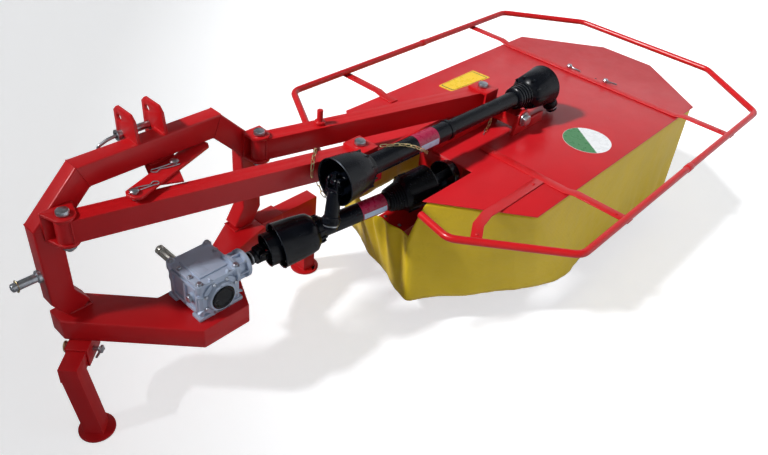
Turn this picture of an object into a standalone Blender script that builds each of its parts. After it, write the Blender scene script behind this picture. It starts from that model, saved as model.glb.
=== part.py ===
"""Two-drum rotary mower for a tractor's three-point hitch, parked on its stands.

Machine datum: x to the machine's right, y forward towards the tractor, z up. Its origin is on
the ground under the centre of the cover. The datum empty then moves the whole machine so that
the world origin is at the bottom centre of its box.
"""
import math

import bmesh
import bpy
from mathutils import Matrix, Vector

# ---------------------------------------------------------------- driving sizes, in metres
GAP = 0.0003                    # between pieces that touch
RUN = 0.006                     # between pieces that move past each other

COVER_LENGTH = 1.80             # cover plate over the drums
COVER_WIDTH = 0.952
COVER_CHAMFER_X = 0.255
COVER_CHAMFER_Y = 0.343
COVER_SHEET = 0.006
COVER_HEIGHT = 0.63             # top of the cover above the ground
NOTCH_X = -0.5995               # the cover is open to its left end from here, for the driveshaft
NOTCH_REAR = -0.150
NOTCH_FRONT = 0.125

SKIRT_WALL = 0.006
SKIRT_HEM_HEIGHT = 0.145        # above the ground
SKIRT_INSET = 0.004
SKIRT_OPEN_X = -0.735           # left of this and in front of the next it leaves room for the
SKIRT_OPEN_REAR = -0.140        # driveshaft to swing
SKIRT_OPEN_DROP = 0.1865
SKIRT_HEM = (                   # its lower edge's corners in plan, in the order of the cover's
    (0.560, 0.455), (0.840, 0.120), (0.840, -0.120), (0.730, -0.475),
    (-0.375, -0.482), (-0.888, -0.148), (-0.811, 0.097), (-0.655, 0.465),
)
SKIRT_HEM_BENDS = (0.12, 0.12, 0.12, 0.10, 0.20, 0.02, 0.12, 0.12)
SKIRT_TOP_BEND = 0.05

RAIL_RADIUS = 0.0135            # guard rail tube
RAIL_RISE = 0.029               # its centre above the cover
RAIL_LEFT = -1.015
RAIL_RIGHT = 1.037
RAIL_REAR = -0.706
RAIL_FRONT = 0.690
RAIL_CORNER_X = 0.270
RAIL_CORNER_Y = 0.342
RAIL_LONG_CORNER_Y = 0.460      # front left corner
RAIL_BEND = 0.060
RAIL_REAR_END = (-0.985, -0.222)
RAIL_FRONT_END = (-0.930, 0.190)

STRAP_WIDTH = 0.040
STRAP_THICK = 0.005
STRAP_RIGHT_X = 0.490
STRAP_LEFT_X = -0.430
SIDE_STRAP_Y = -0.352

DRUM_SPACING = 0.820
DRUM_RADIUS = 0.155
DISC_RADIUS = 0.270
BLADE_REACH = 0.400
BLADE_COUNT = 2
BLADE_TURN = 1.955              # where the left drum's blades stop; the right's stop a quarter on
SKID_RADIUS = 0.225

SECTION_HIGH = 0.080            # headstock and arm tube, height
SECTION_DEEP = 0.060            # and width
HEAD_LEFT = -1.993              # headstock outer faces
HEAD_RIGHT = -1.173
HEAD_REAR = 0.384               # rear face of the headstock
HEAD_TOP = COVER_HEIGHT + 0.257
HEAD_CHAMFER = 0.157
FRAME_TOP = COVER_HEIGHT - 0.250    # top of the lower frame

HINGE_BACK = 0.046              # arm hinge axis behind the headstock's rear face
HINGE_NEAR_X = -1.918
HINGE_FAR_X = -1.211
ARM_LENGTH = 0.969
ARM_ANGLE = math.radians(-15.7)     # from the hinge towards the mower, parked
ARM_TOP = COVER_HEIGHT + 0.150
ARM_PIN_SHARE = 0.240           # the upright pin's place along the far arm
BARREL_RADIUS = 0.030
BOLT_RADIUS = 0.012
BOLT_HEAD = 0.020
BOLT_HEAD_HIGH = 0.016
NUT_HIGH = 0.022
BOLT_TAIL = 0.030
PLATE = 0.010                   # lugs and ears

HITCH_PIN_RADIUS = 0.014
HITCH_PIN_LENGTH = 0.090
HITCH_PIN_HEIGHT = COVER_HEIGHT - 0.080
EAR_SPACING = 0.096
EAR_REACH = 0.062               # in front of the headstock
EAR_TOP = 0.088                 # above the top beam
EAR_CORNER = 0.018
TOP_PIN_RADIUS = 0.0122
TOP_HOLE_RADIUS = 0.013
TOP_HOLES = (0.052, -0.004)     # heights from the top beam's upper face

LINK_WIDTH = 0.060              # flat link that locks the arms
LINK_CORNER = 0.014
LINK_START = (-0.157, -0.107)   # from the headstock's middle and its rear face
LINK_END = (0.188, 0.014)
LINK_SHELF = ((-0.017, 0.052), (-0.067, -0.084), (0.017, -0.122), (0.071, 0.016), (0.071, 0.052))
LINK_SHELF_THICK = 0.0075

STAND_TUBE = 0.060
SOCKET_TUBE = 0.072
SOCKET_LENGTH = 0.105
FOOT_RADIUS = 0.060
FOOT_THICK = 0.008
STAND_SEAT = 0.006              # the socket's start to the stand's inner end

TRAY_LEVEL = -0.180             # plate under the mower's universal joint, from the cover's top
TRAY_LEFT = -0.8852
TRAY_THICK = 0.006
TRAY_RIGHT = -0.6063

TILT_X = -0.199                 # fore-aft pivot between the carrier and the cover
TILT_RISE = 0.060
TILT_BOLT = 0.014
TILT_EAR_REAR = -0.095
TILT_EAR_THICK = 0.015

BEAM_LEFT = -0.60               # gear housing over the drums
BEAM_RIGHT = 0.56
BEAM_HALF_WIDTH = 0.105
BEAM_LOW = -0.150
NECK_RADIUS = 0.075
AXLE_RADIUS = 0.030
AXLE_LENGTH = 0.070

GEARBOX = (0.168, 0.180, 0.150)
GEARBOX_LOW = (-1.668, 0.078)
GEARBOX_BEVEL = 0.012
GEARBOX_NECK = (0.050, 0.042)   # round bosses: radius, how far they stand out
GEARBOX_CAP = (0.042, 0.012)
GEARBOX_BOSS = (0.040, 0.030)
INPUT_SHIFT = -0.020            # from the gearbox's middle
INPUT_RADIUS = 0.0175
INPUT_LENGTH = 0.141            # from the gearbox's front face
OUTPUT_RADIUS = 0.018
JOINT_BALL = 0.022              # stands for the universal joint's cross
SHAFT_TUBE_RADIUS = 0.034
SHAFT_INNER_RADIUS = 0.026
BELL_RADIUS = 0.073             # guard at the mower's end
FRONT_BELL_RADIUS = 0.080       # and the two at the gearbox's end
SMALL_BELL_RADIUS = 0.057
GUARD_RADIUS = 0.078            # ring round the mower's input
GUARD_BORE = 0.0187

SPARE_RISE = 0.130              # spare driveshaft's axis above the cover
SPARE_TUBE = 0.036
SPARE_INNER = 0.031
SPARE_BELL = 0.083
SPARE_RIM_BACK = 0.020          # the right bell stops short of its joint
CHAIN_RADIUS = 0.005

CARRIER_REAR = 0.036
CARRIER_FRONT_REACH = 0.042     # in front of the arms' end bolts
CARRIER_FORK = 0.040            # half of a fork's width
ARCH = (-0.900, -0.612, 0.032)  # it is arched over the driveshaft's guard: from x, to x, rise


# ---------------------------------------------------------------- values worked out from them
def up(z):
    """Height above the ground of a level given from the top of the cover."""
    return COVER_HEIGHT + z


HEAD_MIDDLE = (HEAD_LEFT + HEAD_RIGHT) / 2
HEAD_FRONT = HEAD_REAR + SECTION_DEEP
HINGE_Y = HEAD_REAR - HINGE_BACK
HINGE_NEAR = Vector((HINGE_NEAR_X, HINGE_Y, 0))
HINGE_FAR = Vector((HINGE_FAR_X, HINGE_Y, 0))
ARM = Vector((math.cos(ARM_ANGLE), math.sin(ARM_ANGLE), 0)) * ARM_LENGTH
END_NEAR = HINGE_NEAR + ARM
END_FAR = HINGE_FAR + ARM
ARM_BOTTOM = ARM_TOP - SECTION_HIGH
RAIL_HEIGHT = up(RAIL_RISE)
BOX_MIDDLE = Vector((
    (HEAD_LEFT - HITCH_PIN_LENGTH + RAIL_RIGHT + RAIL_RADIUS) / 2,
    (RAIL_REAR + RAIL_FRONT) / 2,
    0,
))

# universal joints of the driveshaft between the gearbox and the mower
JOINT_GEARBOX = Vector((-1.385, 0.125, up(-0.138)))
JOINT_MOWER = Vector((-0.725, -0.050, up(-0.052)))

SPARE_LEFT = Vector((-1.180, -0.0058, up(SPARE_RISE)))
SPARE_RIGHT = Vector((0.015, -0.0420, up(SPARE_RISE)))

LEFT_STAND_AXIS = Vector((-1.906, 0.380, FRAME_TOP - SECTION_HIGH - GAP - SOCKET_TUBE / 2))
LEFT_STAND_WAY = Vector((-0.737277, -0.67559, 0)).normalized()
LEFT_STAND_REACH = 0.155
LEFT_STAND_LEAN = Vector((0.018, -0.046, 0))    # its foot from under its corner
RIGHT_STAND_AXIS = Vector((-1.190, 0.392, FRAME_TOP - SOCKET_TUBE / 2))
RIGHT_STAND_WAY = Vector((1, 0, 0))
RIGHT_STAND_REACH = 0.258
RIGHT_STAND_LEAN = Vector((0, 0, 0))


# ---------------------------------------------------------------- scene, materials, helpers
def clear_scene():
    for obj in list(bpy.data.objects):
        bpy.data.objects.remove(obj, do_unlink=True)


def material(name, colour, roughness, metallic=0.0):
    mat = bpy.data.materials.new(name)
    mat.use_nodes = True
    shader = mat.node_tree.nodes["Principled BSDF"]
    shader.inputs["Base Color"].default_value = (*colour, 1.0)
    shader.inputs["Roughness"].default_value = roughness
    shader.inputs["Metallic"].default_value = metallic
    return mat


PAINTS = {
    "red": ((0.55, 0.03, 0.02), 0.40, 0.0),
    "yellow": ((0.80, 0.60, 0.03), 0.60, 0.0),
    "black": ((0.012, 0.014, 0.018), 0.45, 0.0),
    "cast": ((0.50, 0.55, 0.62), 0.45, 0.8),
    "zinc": ((0.60, 0.60, 0.62), 0.35, 0.9),
    "steel": ((0.35, 0.34, 0.33), 0.45, 0.9),
}


def empty(name, at, parent):
    """A pivot: its location is given in the machine datum."""
    obj = bpy.data.objects.new(name, None)
    obj.empty_display_size = 0.1
    obj["at"] = tuple(at)
    if parent is None:
        obj.location = -BOX_MIDDLE
    else:
        obj.parent = parent
        obj.location = Vector(at) - Vector(parent["at"])
    bpy.context.scene.collection.objects.link(obj)
    return obj


def piece(name, bm, paint, pivot):
    """Make an object of a bmesh built in the machine datum, with its origin at its pivot."""
    bmesh.ops.recalc_face_normals(bm, faces=bm.faces)
    bmesh.ops.translate(bm, verts=bm.verts, vec=-Vector(pivot["at"]))
    mesh = bpy.data.meshes.new(name)
    bm.to_mesh(mesh)
    bm.free()
    mesh.shade_smooth()
    mesh.set_sharp_from_angle(angle=math.radians(35))
    mesh.materials.append(material(name, *PAINTS[paint]))
    obj = bpy.data.objects.new(name, mesh)
    obj.parent = pivot
    bpy.context.scene.collection.objects.link(obj)
    return obj


def cutter(name, bm, pivot):
    obj = piece(name, bm, "steel", pivot)
    obj.hide_render = True
    obj.display_type = "WIRE"
    return obj


def combine(target, operation, *tools):
    for tool in tools:
        modifier = target.modifiers.new(tool.name, "BOOLEAN")
        modifier.operation = operation
        modifier.object = tool
        modifier.solver = "EXACT"


def box(low, high):
    bm = bmesh.new()
    bmesh.ops.create_cube(bm, size=1.0)
    low, high = Vector(low), Vector(high)
    bmesh.ops.scale(bm, verts=bm.verts, vec=high - low)
    bmesh.ops.translate(bm, verts=bm.verts, vec=(low + high) / 2)
    return bm


def beam(start, end, width, height):
    """A box along a line in plan; start and end are the middles of its end faces."""
    start, end = Vector(start), Vector(end)
    length = (end - start).length
    way = (end - start).normalized()
    across = Vector((-way.y, way.x, 0)).normalized()
    bm = bmesh.new()
    bmesh.ops.create_cube(bm, size=1.0)
    bmesh.ops.scale(bm, verts=bm.verts, vec=(length, width, height))
    turn = Matrix((way, across, way.cross(across))).transposed().to_4x4()
    bmesh.ops.transform(bm, matrix=Matrix.Translation((start + end) / 2) @ turn, verts=bm.verts)
    return bm


def rod(start, end, radius, sides=24, end_radius=None):
    """A round bar or cone between two points."""
    start, end = Vector(start), Vector(end)
    way = end - start
    bm = bmesh.new()
    bmesh.ops.create_cone(
        bm, cap_ends=True, segments=sides, radius1=radius,
        radius2=radius if end_radius is None else end_radius, depth=way.length)
    turn = way.to_track_quat("Z", "Y").to_matrix().to_4x4()
    bmesh.ops.transform(bm, matrix=Matrix.Translation((start + end) / 2) @ turn, verts=bm.verts)
    return bm


def prism(outline, start, depth, axis="z"):
    """An outline extruded along an axis. For y the outline is (x, z), for x it is (y, z)."""
    place = {
        "z": lambda u, v: (u, v, start),
        "y": lambda u, v: (u, start, v),
        "x": lambda u, v: (start, u, v),
    }[axis]
    along = {"z": (0, 0, depth), "y": (0, depth, 0), "x": (depth, 0, 0)}[axis]
    bm = bmesh.new()
    face = bm.faces.new([bm.verts.new(place(u, v)) for u, v in outline])
    top = bmesh.ops.extrude_face_region(bm, geom=[face])
    moved = [item for item in top["geom"] if isinstance(item, bmesh.types.BMVert)]
    bmesh.ops.translate(bm, verts=moved, vec=along)
    return bm


def flat_bar(points, width, thick):
    """A bar with its width level, along points of the middle of its underside."""
    points = [Vector(point) for point in points]
    bm = bmesh.new()
    rows = []
    for index, point in enumerate(points):
        way = points[min(index + 1, len(points) - 1)] - points[max(index - 1, 0)]
        across = Vector((-way.y, way.x, 0)).normalized() * (width / 2)
        rise = Vector((0, 0, thick))
        rows.append([bm.verts.new(point + offset)
                     for offset in (across, -across, rise - across, rise + across)])
    for first, second in zip(rows, rows[1:]):
        for side in range(4):
            bm.faces.new((first[side - 1], first[side], second[side], second[side - 1]))
    bm.faces.new(rows[0])
    bm.faces.new(rows[-1])
    return bm


def turned(profile, start, end, sides=32):
    """A closed turned solid. The profile is (distance along the axis from start, radius)."""
    start, end = Vector(start), Vector(end)
    bm = bmesh.new()
    verts = [bm.verts.new((radius, 0, along)) for along, radius in profile]
    edges = [bm.edges.new(pair) for pair in zip(verts, verts[1:])]
    if profile[0][1] > 0 or profile[-1][1] > 0:
        edges.append(bm.edges.new((verts[-1], verts[0])))
    bmesh.ops.spin(bm, geom=verts + edges, cent=(0, 0, 0), axis=(0, 0, 1),
                   angle=math.tau, steps=sides, use_merge=True)
    bmesh.ops.remove_doubles(bm, verts=bm.verts, dist=1e-6)
    turn = (end - start).to_track_quat("Z", "Y").to_matrix().to_4x4()
    bmesh.ops.transform(bm, matrix=Matrix.Translation(start) @ turn, verts=bm.verts)
    return bm


def rounded(points, radius, steps=4, closed=False):
    """Points of a path whose inner corners are arcs, of one radius or of one for each point."""
    points = [Vector(p) for p in points]
    count = len(points)
    radii = [radius] * count if isinstance(radius, float) else radius
    result = []
    for index, point in enumerate(points):
        if not closed and index in (0, count - 1):
            result.append(point)
            continue
        back = (points[index - 1] - point).normalized()
        ahead = (points[(index + 1) % count] - point).normalized()
        half = back.angle(ahead) / 2
        reach = radii[index] / math.tan(half)
        middle = point + (back + ahead).normalized() * (radii[index] / math.sin(half))
        first = point + back * reach - middle
        last = point + ahead * reach - middle
        sweep = first.angle(last)
        for step in range(steps + 1):
            t = step / steps
            arc = first * math.sin((1 - t) * sweep) + last * math.sin(t * sweep)
            result.append(middle + arc / math.sin(sweep))
    return result


def tube(name, points, radius, paint, pivot, resolution=2):
    """A round tube or cord along points of the machine datum."""
    curve = bpy.data.curves.new(name, "CURVE")
    curve.dimensions = "3D"
    curve.bevel_depth = radius
    curve.bevel_resolution = resolution
    curve.use_fill_caps = True
    spline = curve.splines.new("POLY")
    spline.points.add(len(points) - 1)
    for target, point in zip(spline.points, points):
        target.co = (*(Vector(point) - Vector(pivot["at"])), 1)
    curve.materials.append(material(name, *PAINTS[paint]))
    obj = bpy.data.objects.new(name, curve)
    obj.parent = pivot
    bpy.context.scene.collection.objects.link(obj)
    return obj


def chain(name, route, pivot):
    """A hanging chain's core: a round cord along a smooth curve through its route's points."""
    route = [Vector(point) for point in route]
    ends = [route[0] * 2 - route[1]] + route + [route[-1] * 2 - route[-2]]
    points = []
    for before, first, last, after in zip(ends, ends[1:], ends[2:], ends[3:]):
        steps = max(2, round((last - first).length / (CHAIN_RADIUS * 5)))
        for step in range(steps):
            t = step / steps
            points.append(0.5 * (2 * first + (last - before) * t
                                 + (2 * before - 5 * first + 4 * last - after) * t ** 2
                                 + (3 * first - before - 3 * last + after) * t ** 3))
    points.append(route[-1])
    return tube(name, points, CHAIN_RADIUS, "zinc", pivot, 2)


def octagon(half_x, half_y, cut_x, cut_y):
    return [
        (half_x - cut_x, half_y), (half_x, half_y - cut_y), (half_x, -half_y + cut_y),
        (half_x - cut_x, -half_y), (-half_x + cut_x, -half_y), (-half_x, -half_y + cut_y),
        (-half_x, half_y - cut_y), (-half_x + cut_x, half_y),
    ]


# ---------------------------------------------------------------- headstock
def headstock(root):
    """The hoop: two legs, two sloping corners and the top beam, each a mitred length of tube."""
    mitre = SECTION_HIGH * math.tan(math.radians(22.5))
    corner = HEAD_TOP - HEAD_CHAMFER
    outer = [(HEAD_LEFT, FRAME_TOP + 0.080), (HEAD_LEFT, corner),
             (HEAD_LEFT + HEAD_CHAMFER, HEAD_TOP)]
    inner = [(HEAD_LEFT + SECTION_HIGH, FRAME_TOP + 0.070),
             (HEAD_LEFT + SECTION_HIGH, corner - mitre),
             (HEAD_LEFT + HEAD_CHAMFER + mitre, HEAD_TOP - SECTION_HIGH)]

    def both(points):
        return points + [(2 * HEAD_MIDDLE - x, z) for x, z in reversed(points)]

    outer, inner = both(outer), both(inner)
    names = ("left_leg", "left_corner", "top_beam", "right_corner", "right_leg")
    for index, name in enumerate(names):
        outline = [outer[index], outer[index + 1], inner[index + 1], inner[index]]
        if name == "left_leg":
            outline += [(HEAD_LEFT + 0.113, FRAME_TOP + GAP), (HEAD_LEFT + 0.060, FRAME_TOP + GAP)]
        if name == "right_leg":
            feet = [(HEAD_RIGHT - 0.060, FRAME_TOP + GAP), (HEAD_RIGHT - 0.113, FRAME_TOP + GAP)]
            outline = [outer[4], outer[5]] + feet + [inner[5], inner[4]]
        middle = Vector((sum(p[0] for p in outline), sum(p[1] for p in outline))) / len(outline)
        bm = prism(outline, HEAD_REAR, SECTION_DEEP, "y")
        # the mitred joints keep a hair of a gap
        shrink = 1 - GAP / 0.15
        if name in ("left_corner", "right_corner"):
            for vert in bm.verts:
                vert.co.x = middle.x + (vert.co.x - middle.x) * shrink
                vert.co.z = middle.y + (vert.co.z - middle.y) * shrink
        piece(name, bm, "red", root)


def lower_frame(root):
    """The frame behind the legs' feet, with the flat that carries the gearbox."""
    outline = [
        (-1.985, 0.372), (-1.680, 0.045), (-1.500, 0.045), (-1.385, 0.285), (-1.190, 0.335),
        (-1.190, 0.444), (-1.300, 0.444), (-1.430, 0.360), (-1.500, 0.271), (-1.700, 0.271),
        (-1.860, 0.444), (-1.985, 0.444),
    ]
    bm = prism(outline, FRAME_TOP - SECTION_HIGH, SECTION_HIGH, "z")
    piece("lower_frame", bm, "red", root)


def hitch(root):
    """Top link ears and pin, lower link pins."""
    rear, front = HEAD_REAR + 0.012, HEAD_FRONT + EAR_REACH
    high, low = HEAD_TOP + EAR_TOP, HEAD_TOP - 0.050
    outline = [(HEAD_REAR + 0.002, HEAD_TOP + GAP), (rear, high - EAR_CORNER), (rear + EAR_CORNER, high),
               (front - EAR_CORNER, high), (front, high - EAR_CORNER), (front, low),
               (HEAD_FRONT + GAP, low), (HEAD_FRONT + GAP, HEAD_TOP + GAP)]
    pin_y = HEAD_FRONT + 0.034
    levels = [HEAD_TOP + hole for hole in TOP_HOLES]
    for name, side in (("left_ear", -1), ("right_ear", 1)):
        x = HEAD_MIDDLE + side * EAR_SPACING / 2
        ear = piece(name, prism(outline, x - PLATE / 2, PLATE, "x"), "red", root)
        for index, z in enumerate(levels):
            bore = rod((x - PLATE, pin_y, z), (x + PLATE, pin_y, z), TOP_HOLE_RADIUS, 16)
            combine(ear, "DIFFERENCE", cutter(f"{name}_hole_{index}", bore, root))
    left = HEAD_MIDDLE - EAR_SPACING / 2 - PLATE / 2
    right = HEAD_MIDDLE + EAR_SPACING / 2 + PLATE / 2
    bar = rod((left - 0.020, pin_y, levels[1]), (right + 0.020, pin_y, levels[1]), TOP_PIN_RADIUS, 16)
    grip = rod((left - 0.012, pin_y, levels[1]), (left - 0.080, pin_y + 0.004, levels[1] - 0.018), 0.006, 12)
    pin = piece("top_link_pin", bar, "zinc", root)
    combine(pin, "UNION", cutter("top_link_pin_grip", grip, root))
    middle_y = HEAD_REAR + SECTION_DEEP / 2
    for name, face, side in (("left_hitch_pin", HEAD_LEFT, -1), ("right_hitch_pin", HEAD_RIGHT, 1)):
        start = (face + side * GAP, middle_y, HITCH_PIN_HEIGHT)
        end = (face + side * HITCH_PIN_LENGTH, middle_y, HITCH_PIN_HEIGHT)
        collar = (face + side * 0.012, middle_y, HITCH_PIN_HEIGHT)
        pin = piece(name, rod(start, end, HITCH_PIN_RADIUS, 24), "zinc", root)
        ring = cutter(name + "_collar", rod(start, collar, HITCH_PIN_RADIUS * 1.5, 24), root)
        combine(pin, "UNION", ring)


def upright(at, low, high, radius, sides=24):
    """A round bar standing at a point in plan."""
    return rod((at.x, at.y, low), (at.x, at.y, high), radius, sides)


def bolt_bore(at):
    return upright(at, ARM_BOTTOM - 0.1, ARM_TOP + 0.1, BOLT_RADIUS + GAP)


def fork(at, back, half_width, name, paint, pivot):
    """A hinge bracket: two lugs above and below an arm's barrel, on a plate at y = back."""
    lug = BARREL_RADIUS + 0.006
    toward = 1 if back > at.y else -1
    parts = []
    levels = ((ARM_TOP + GAP, ARM_TOP + GAP + PLATE), (ARM_BOTTOM - GAP - PLATE, ARM_BOTTOM - GAP))
    for index, (low, high) in enumerate(levels):
        outline = [(at.x - half_width, back), (at.x + half_width, back)]
        for step in range(9):
            turn = math.pi * step / 8
            outline.append((at.x + lug * math.cos(turn), at.y - toward * lug * math.sin(turn)))
        parts.append(prism(outline, low, high - low, "z"))
    web_low = min(back, back - toward * PLATE)
    web = box((at.x - half_width, web_low, levels[1][0]),
              (at.x + half_width, web_low + PLATE, levels[0][1]))
    body = piece(name, web, paint, pivot)
    combine(body, "UNION", *[cutter(f"{name}_lug_{index}", bm, pivot)
                             for index, bm in enumerate(parts)])
    combine(body, "DIFFERENCE", cutter(name + "_hole", bolt_bore(at), pivot))


def hinge_bolt(name, at, pivot, with_nut=True):
    """The bolt through a fork and an arm's barrel, with its head and nut."""
    low = ARM_BOTTOM - GAP - PLATE
    high = ARM_TOP + GAP + PLATE
    top = high + BOLT_HEAD_HIGH
    shank = piece(name, upright(at, low - BOLT_TAIL, top, BOLT_RADIUS - GAP), "zinc", pivot)
    combine(shank, "UNION", cutter(name + "_head", upright(at, high + GAP, top, BOLT_HEAD, 6), pivot))
    if with_nut:
        nut = upright(at, low - NUT_HIGH, low - GAP, BOLT_HEAD, 6)
        combine(shank, "UNION", cutter(name + "_nut", nut, pivot))


def arm(name, start, end, pivot):
    """An arm: a box tube between two barrels, bored for the hinge bolts."""
    inset = (end - start).normalized() * 0.004
    level = Vector((0, 0, (ARM_TOP + ARM_BOTTOM) / 2))
    bar = beam(start + inset + level, end - inset + level, SECTION_DEEP, SECTION_HIGH)
    body = piece(name, bar, "red", pivot)
    for index, at in enumerate((start, end)):
        barrel = upright(at, ARM_BOTTOM, ARM_TOP, BARREL_RADIUS)
        combine(body, "UNION", cutter(f"{name}_barrel_{index}", barrel, pivot))
    for index, at in enumerate((start, end)):
        combine(body, "DIFFERENCE", cutter(f"{name}_bore_{index}", bolt_bore(at), pivot))


def arm_pin(pivot):
    """The upright pin on the far arm, in its welded boss."""
    at = HINGE_FAR + ARM * ARM_PIN_SHARE
    foot = ARM_TOP + GAP
    pin = piece("far_arm_pin", upright(at, foot, ARM_TOP + 0.056, 0.011, 20), "red", pivot)
    boss = upright(at, foot, ARM_TOP + 0.012, 0.020, 20)
    combine(pin, "UNION", cutter("far_arm_pin_boss", boss, pivot))


def lock_link(root):
    """The flat link that locks the arms, lying on a shelf under the top beam."""
    behind = Vector((HEAD_MIDDLE, HEAD_REAR, 0))
    low = ARM_TOP + RUN
    high = HEAD_TOP - SECTION_HIGH - GAP
    shelf = [behind + Vector((*point, 0)) for point in LINK_SHELF]
    outline = [(point.x, point.y) for point in shelf]
    hanger = piece("link_hanger", prism(outline, low, LINK_SHELF_THICK), "red", root)
    web = box((shelf[0].x, HEAD_REAR + 0.008, low), (shelf[4].x, shelf[4].y, high))
    combine(hanger, "UNION", cutter("link_hanger_web", web, root))
    start, end = behind + Vector((*LINK_START, 0)), behind + Vector((*LINK_END, 0))
    way = (end - start).normalized()
    side = Vector((-way.y, way.x, 0))
    half = LINK_WIDTH / 2
    corners = [(start, LINK_CORNER, half), (start, 0, half - LINK_CORNER), (start, 0, LINK_CORNER - half),
               (start, LINK_CORNER, -half), (end, -LINK_CORNER, -half), (end, 0, LINK_CORNER - half),
               (end, 0, half - LINK_CORNER), (end, -LINK_CORNER, half)]
    points = [at + way * along + side * across for at, along, across in corners]
    outline = [(point.x, point.y) for point in points]
    piece("lock_link", prism(outline, low + LINK_SHELF_THICK + GAP, PLATE), "red", root)


def gearbox(root):
    """The cast gearbox, its splined input and its output shaft."""
    low = Vector((*GEARBOX_LOW, FRAME_TOP + GAP))
    high = low + Vector(GEARBOX)
    middle = (low + high) / 2
    input_x = middle.x + INPUT_SHIFT
    body = box(low, high)
    bmesh.ops.bevel(body, geom=body.edges[:], offset=GEARBOX_BEVEL, affect="EDGES", segments=1,
                    profile=0.5, material=-1)
    case = piece("gearbox", body, "cast", root)
    _, y, z = JOINT_GEARBOX
    radius, reach = GEARBOX_NECK
    neck = rod((high.x - 0.02, y, z), (high.x + reach, y, z), radius)
    output = rod((high.x + reach + GAP, y, z), (JOINT_GEARBOX.x - JOINT_BALL - GAP, y, z), OUTPUT_RADIUS)
    radius, reach = GEARBOX_CAP
    cap = rod((middle.x, low.y + 0.01, middle.z), (middle.x, low.y - reach, middle.z), radius)
    radius, reach = GEARBOX_BOSS
    boss = rod((input_x, high.y - 0.01, middle.z), (input_x, high.y + reach, middle.z), radius)
    splines = rod((input_x, high.y + reach + GAP, middle.z), (input_x, high.y + INPUT_LENGTH, middle.z),
                  INPUT_RADIUS)
    for name, bm in (("neck", neck), ("cap", cap), ("boss", boss)):
        combine(case, "UNION", cutter("gearbox_" + name, bm, root))
    piece("gearbox_input", splines, "steel", root)
    piece("gearbox_output", output, "steel", root)


def driveshaft(front, rear):
    """The telescopic shaft to the mower: the gearbox half in front of the mower half."""
    way = (JOINT_MOWER - JOINT_GEARBOX).normalized()
    length = (JOINT_MOWER - JOINT_GEARBOX).length

    def at(distance):
        return JOINT_GEARBOX + way * distance

    # gearbox half: ball, small bell, large bell, tube; solid but for the bell's mouth and the bore
    turns = [math.radians(18 * step) for step in range(9)]
    profile = [(-JOINT_BALL * math.cos(turn), JOINT_BALL * math.sin(turn)) for turn in turns]
    small, large = SMALL_BELL_RADIUS, FRONT_BELL_RADIUS
    tube_radius, bore = SHAFT_TUBE_RADIUS, SHAFT_INNER_RADIUS + 0.001
    profile += [
        (0.042, 0.008), (0.042, small - 0.010), (0.020, small - 0.006), (0.020, small),
        (0.060, small + 0.002), (0.061, large), (0.180, large * 0.88), (0.232, tube_radius + 0.008),
        (0.240, tube_radius), (0.498, tube_radius), (0.498, bore), (0.200, bore), (0.200, 0.0),
    ]
    piece("driveshaft_outer", turned(profile, at(0), at(length)), "black", front)
    start = 0.230
    rim = length - 0.004
    floor = length - 0.040
    profile = [
        (start, 0.0), (start, SHAFT_INNER_RADIUS), (0.503, SHAFT_INNER_RADIUS), (0.508, 0.042),
        (0.550, 0.052), (0.566, BELL_RADIUS * 0.94), (rim, BELL_RADIUS), (rim, BELL_RADIUS - 0.006),
        (floor, BELL_RADIUS - 0.010), (floor, 0.0),
    ]
    profile = [(along - start, radius) for along, radius in profile]
    piece("driveshaft_inner", turned(profile, at(start), at(length + 1)), "black", rear)


def spare_driveshaft(mower):
    """The tractor's driveshaft, taken off and laid on the mower: two halves and their yokes."""
    way = (SPARE_RIGHT - SPARE_LEFT).normalized()
    length = (SPARE_RIGHT - SPARE_LEFT).length
    inner = SPARE_INNER + 0.0008

    def at(distance):
        return SPARE_LEFT + way * distance

    profile = [
        (0.0, SPARE_BELL - 0.006), (0.0, SPARE_BELL), (0.118, SPARE_BELL * 0.82), (0.124, 0.050),
        (0.142, 0.046), (0.148, SPARE_TUBE), (0.560, SPARE_TUBE), (0.560, inner), (0.200, inner),
        (0.200, 0.0), (0.120, 0.0), (0.120, 0.024), (0.105, SPARE_BELL * 0.82 - 0.008),
    ]
    piece("spare_shaft_outer", turned(profile, at(0), at(length)), "black", mower)
    start = 0.230
    far = length
    rim = far - SPARE_RIM_BACK
    profile = [
        (start, 0.0), (start, SPARE_INNER), (far - 0.225, SPARE_INNER), (far - 0.220, 0.044),
        (far - 0.150, 0.052), (far - 0.140, SPARE_BELL * 0.86), (rim, SPARE_BELL),
        (rim, SPARE_BELL - 0.006), (far - 0.120, SPARE_BELL * 0.86 - 0.008), (far - 0.130, 0.024),
        (far - 0.130, 0.0),
    ]
    profile = [(along - start, radius) for along, radius in profile]
    piece("spare_shaft_inner", turned(profile, at(start), at(far + 1)), "black", mower)
    table = (                   # name, joint, drooping end, its knuckle's radius and length, shaft's fork
        ("spare_yoke_left", at(0.002), Vector((-1.225, -0.040, up(-0.020))),
         0.030, 0.060, at(0.120 - GAP)),
        ("spare_yoke_right", at(far - 0.003), Vector((0.055, -0.080, up(0.0131))),
         0.028, 0.036, at(far - 0.130 + GAP)),
    )
    for name, joint, end, radius, knuckle, seat in table:
        stem = (joint - end).normalized()
        yoke = piece(name, rod(end, joint + stem * 0.016, 0.020, 20), "black", mower)
        combine(yoke, "UNION",
                cutter(name + "_knuckle", rod(end, end + stem * knuckle, radius, 20), mower),
                cutter(name + "_cross", rod(joint, seat, 0.016, 20), mower))


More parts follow.
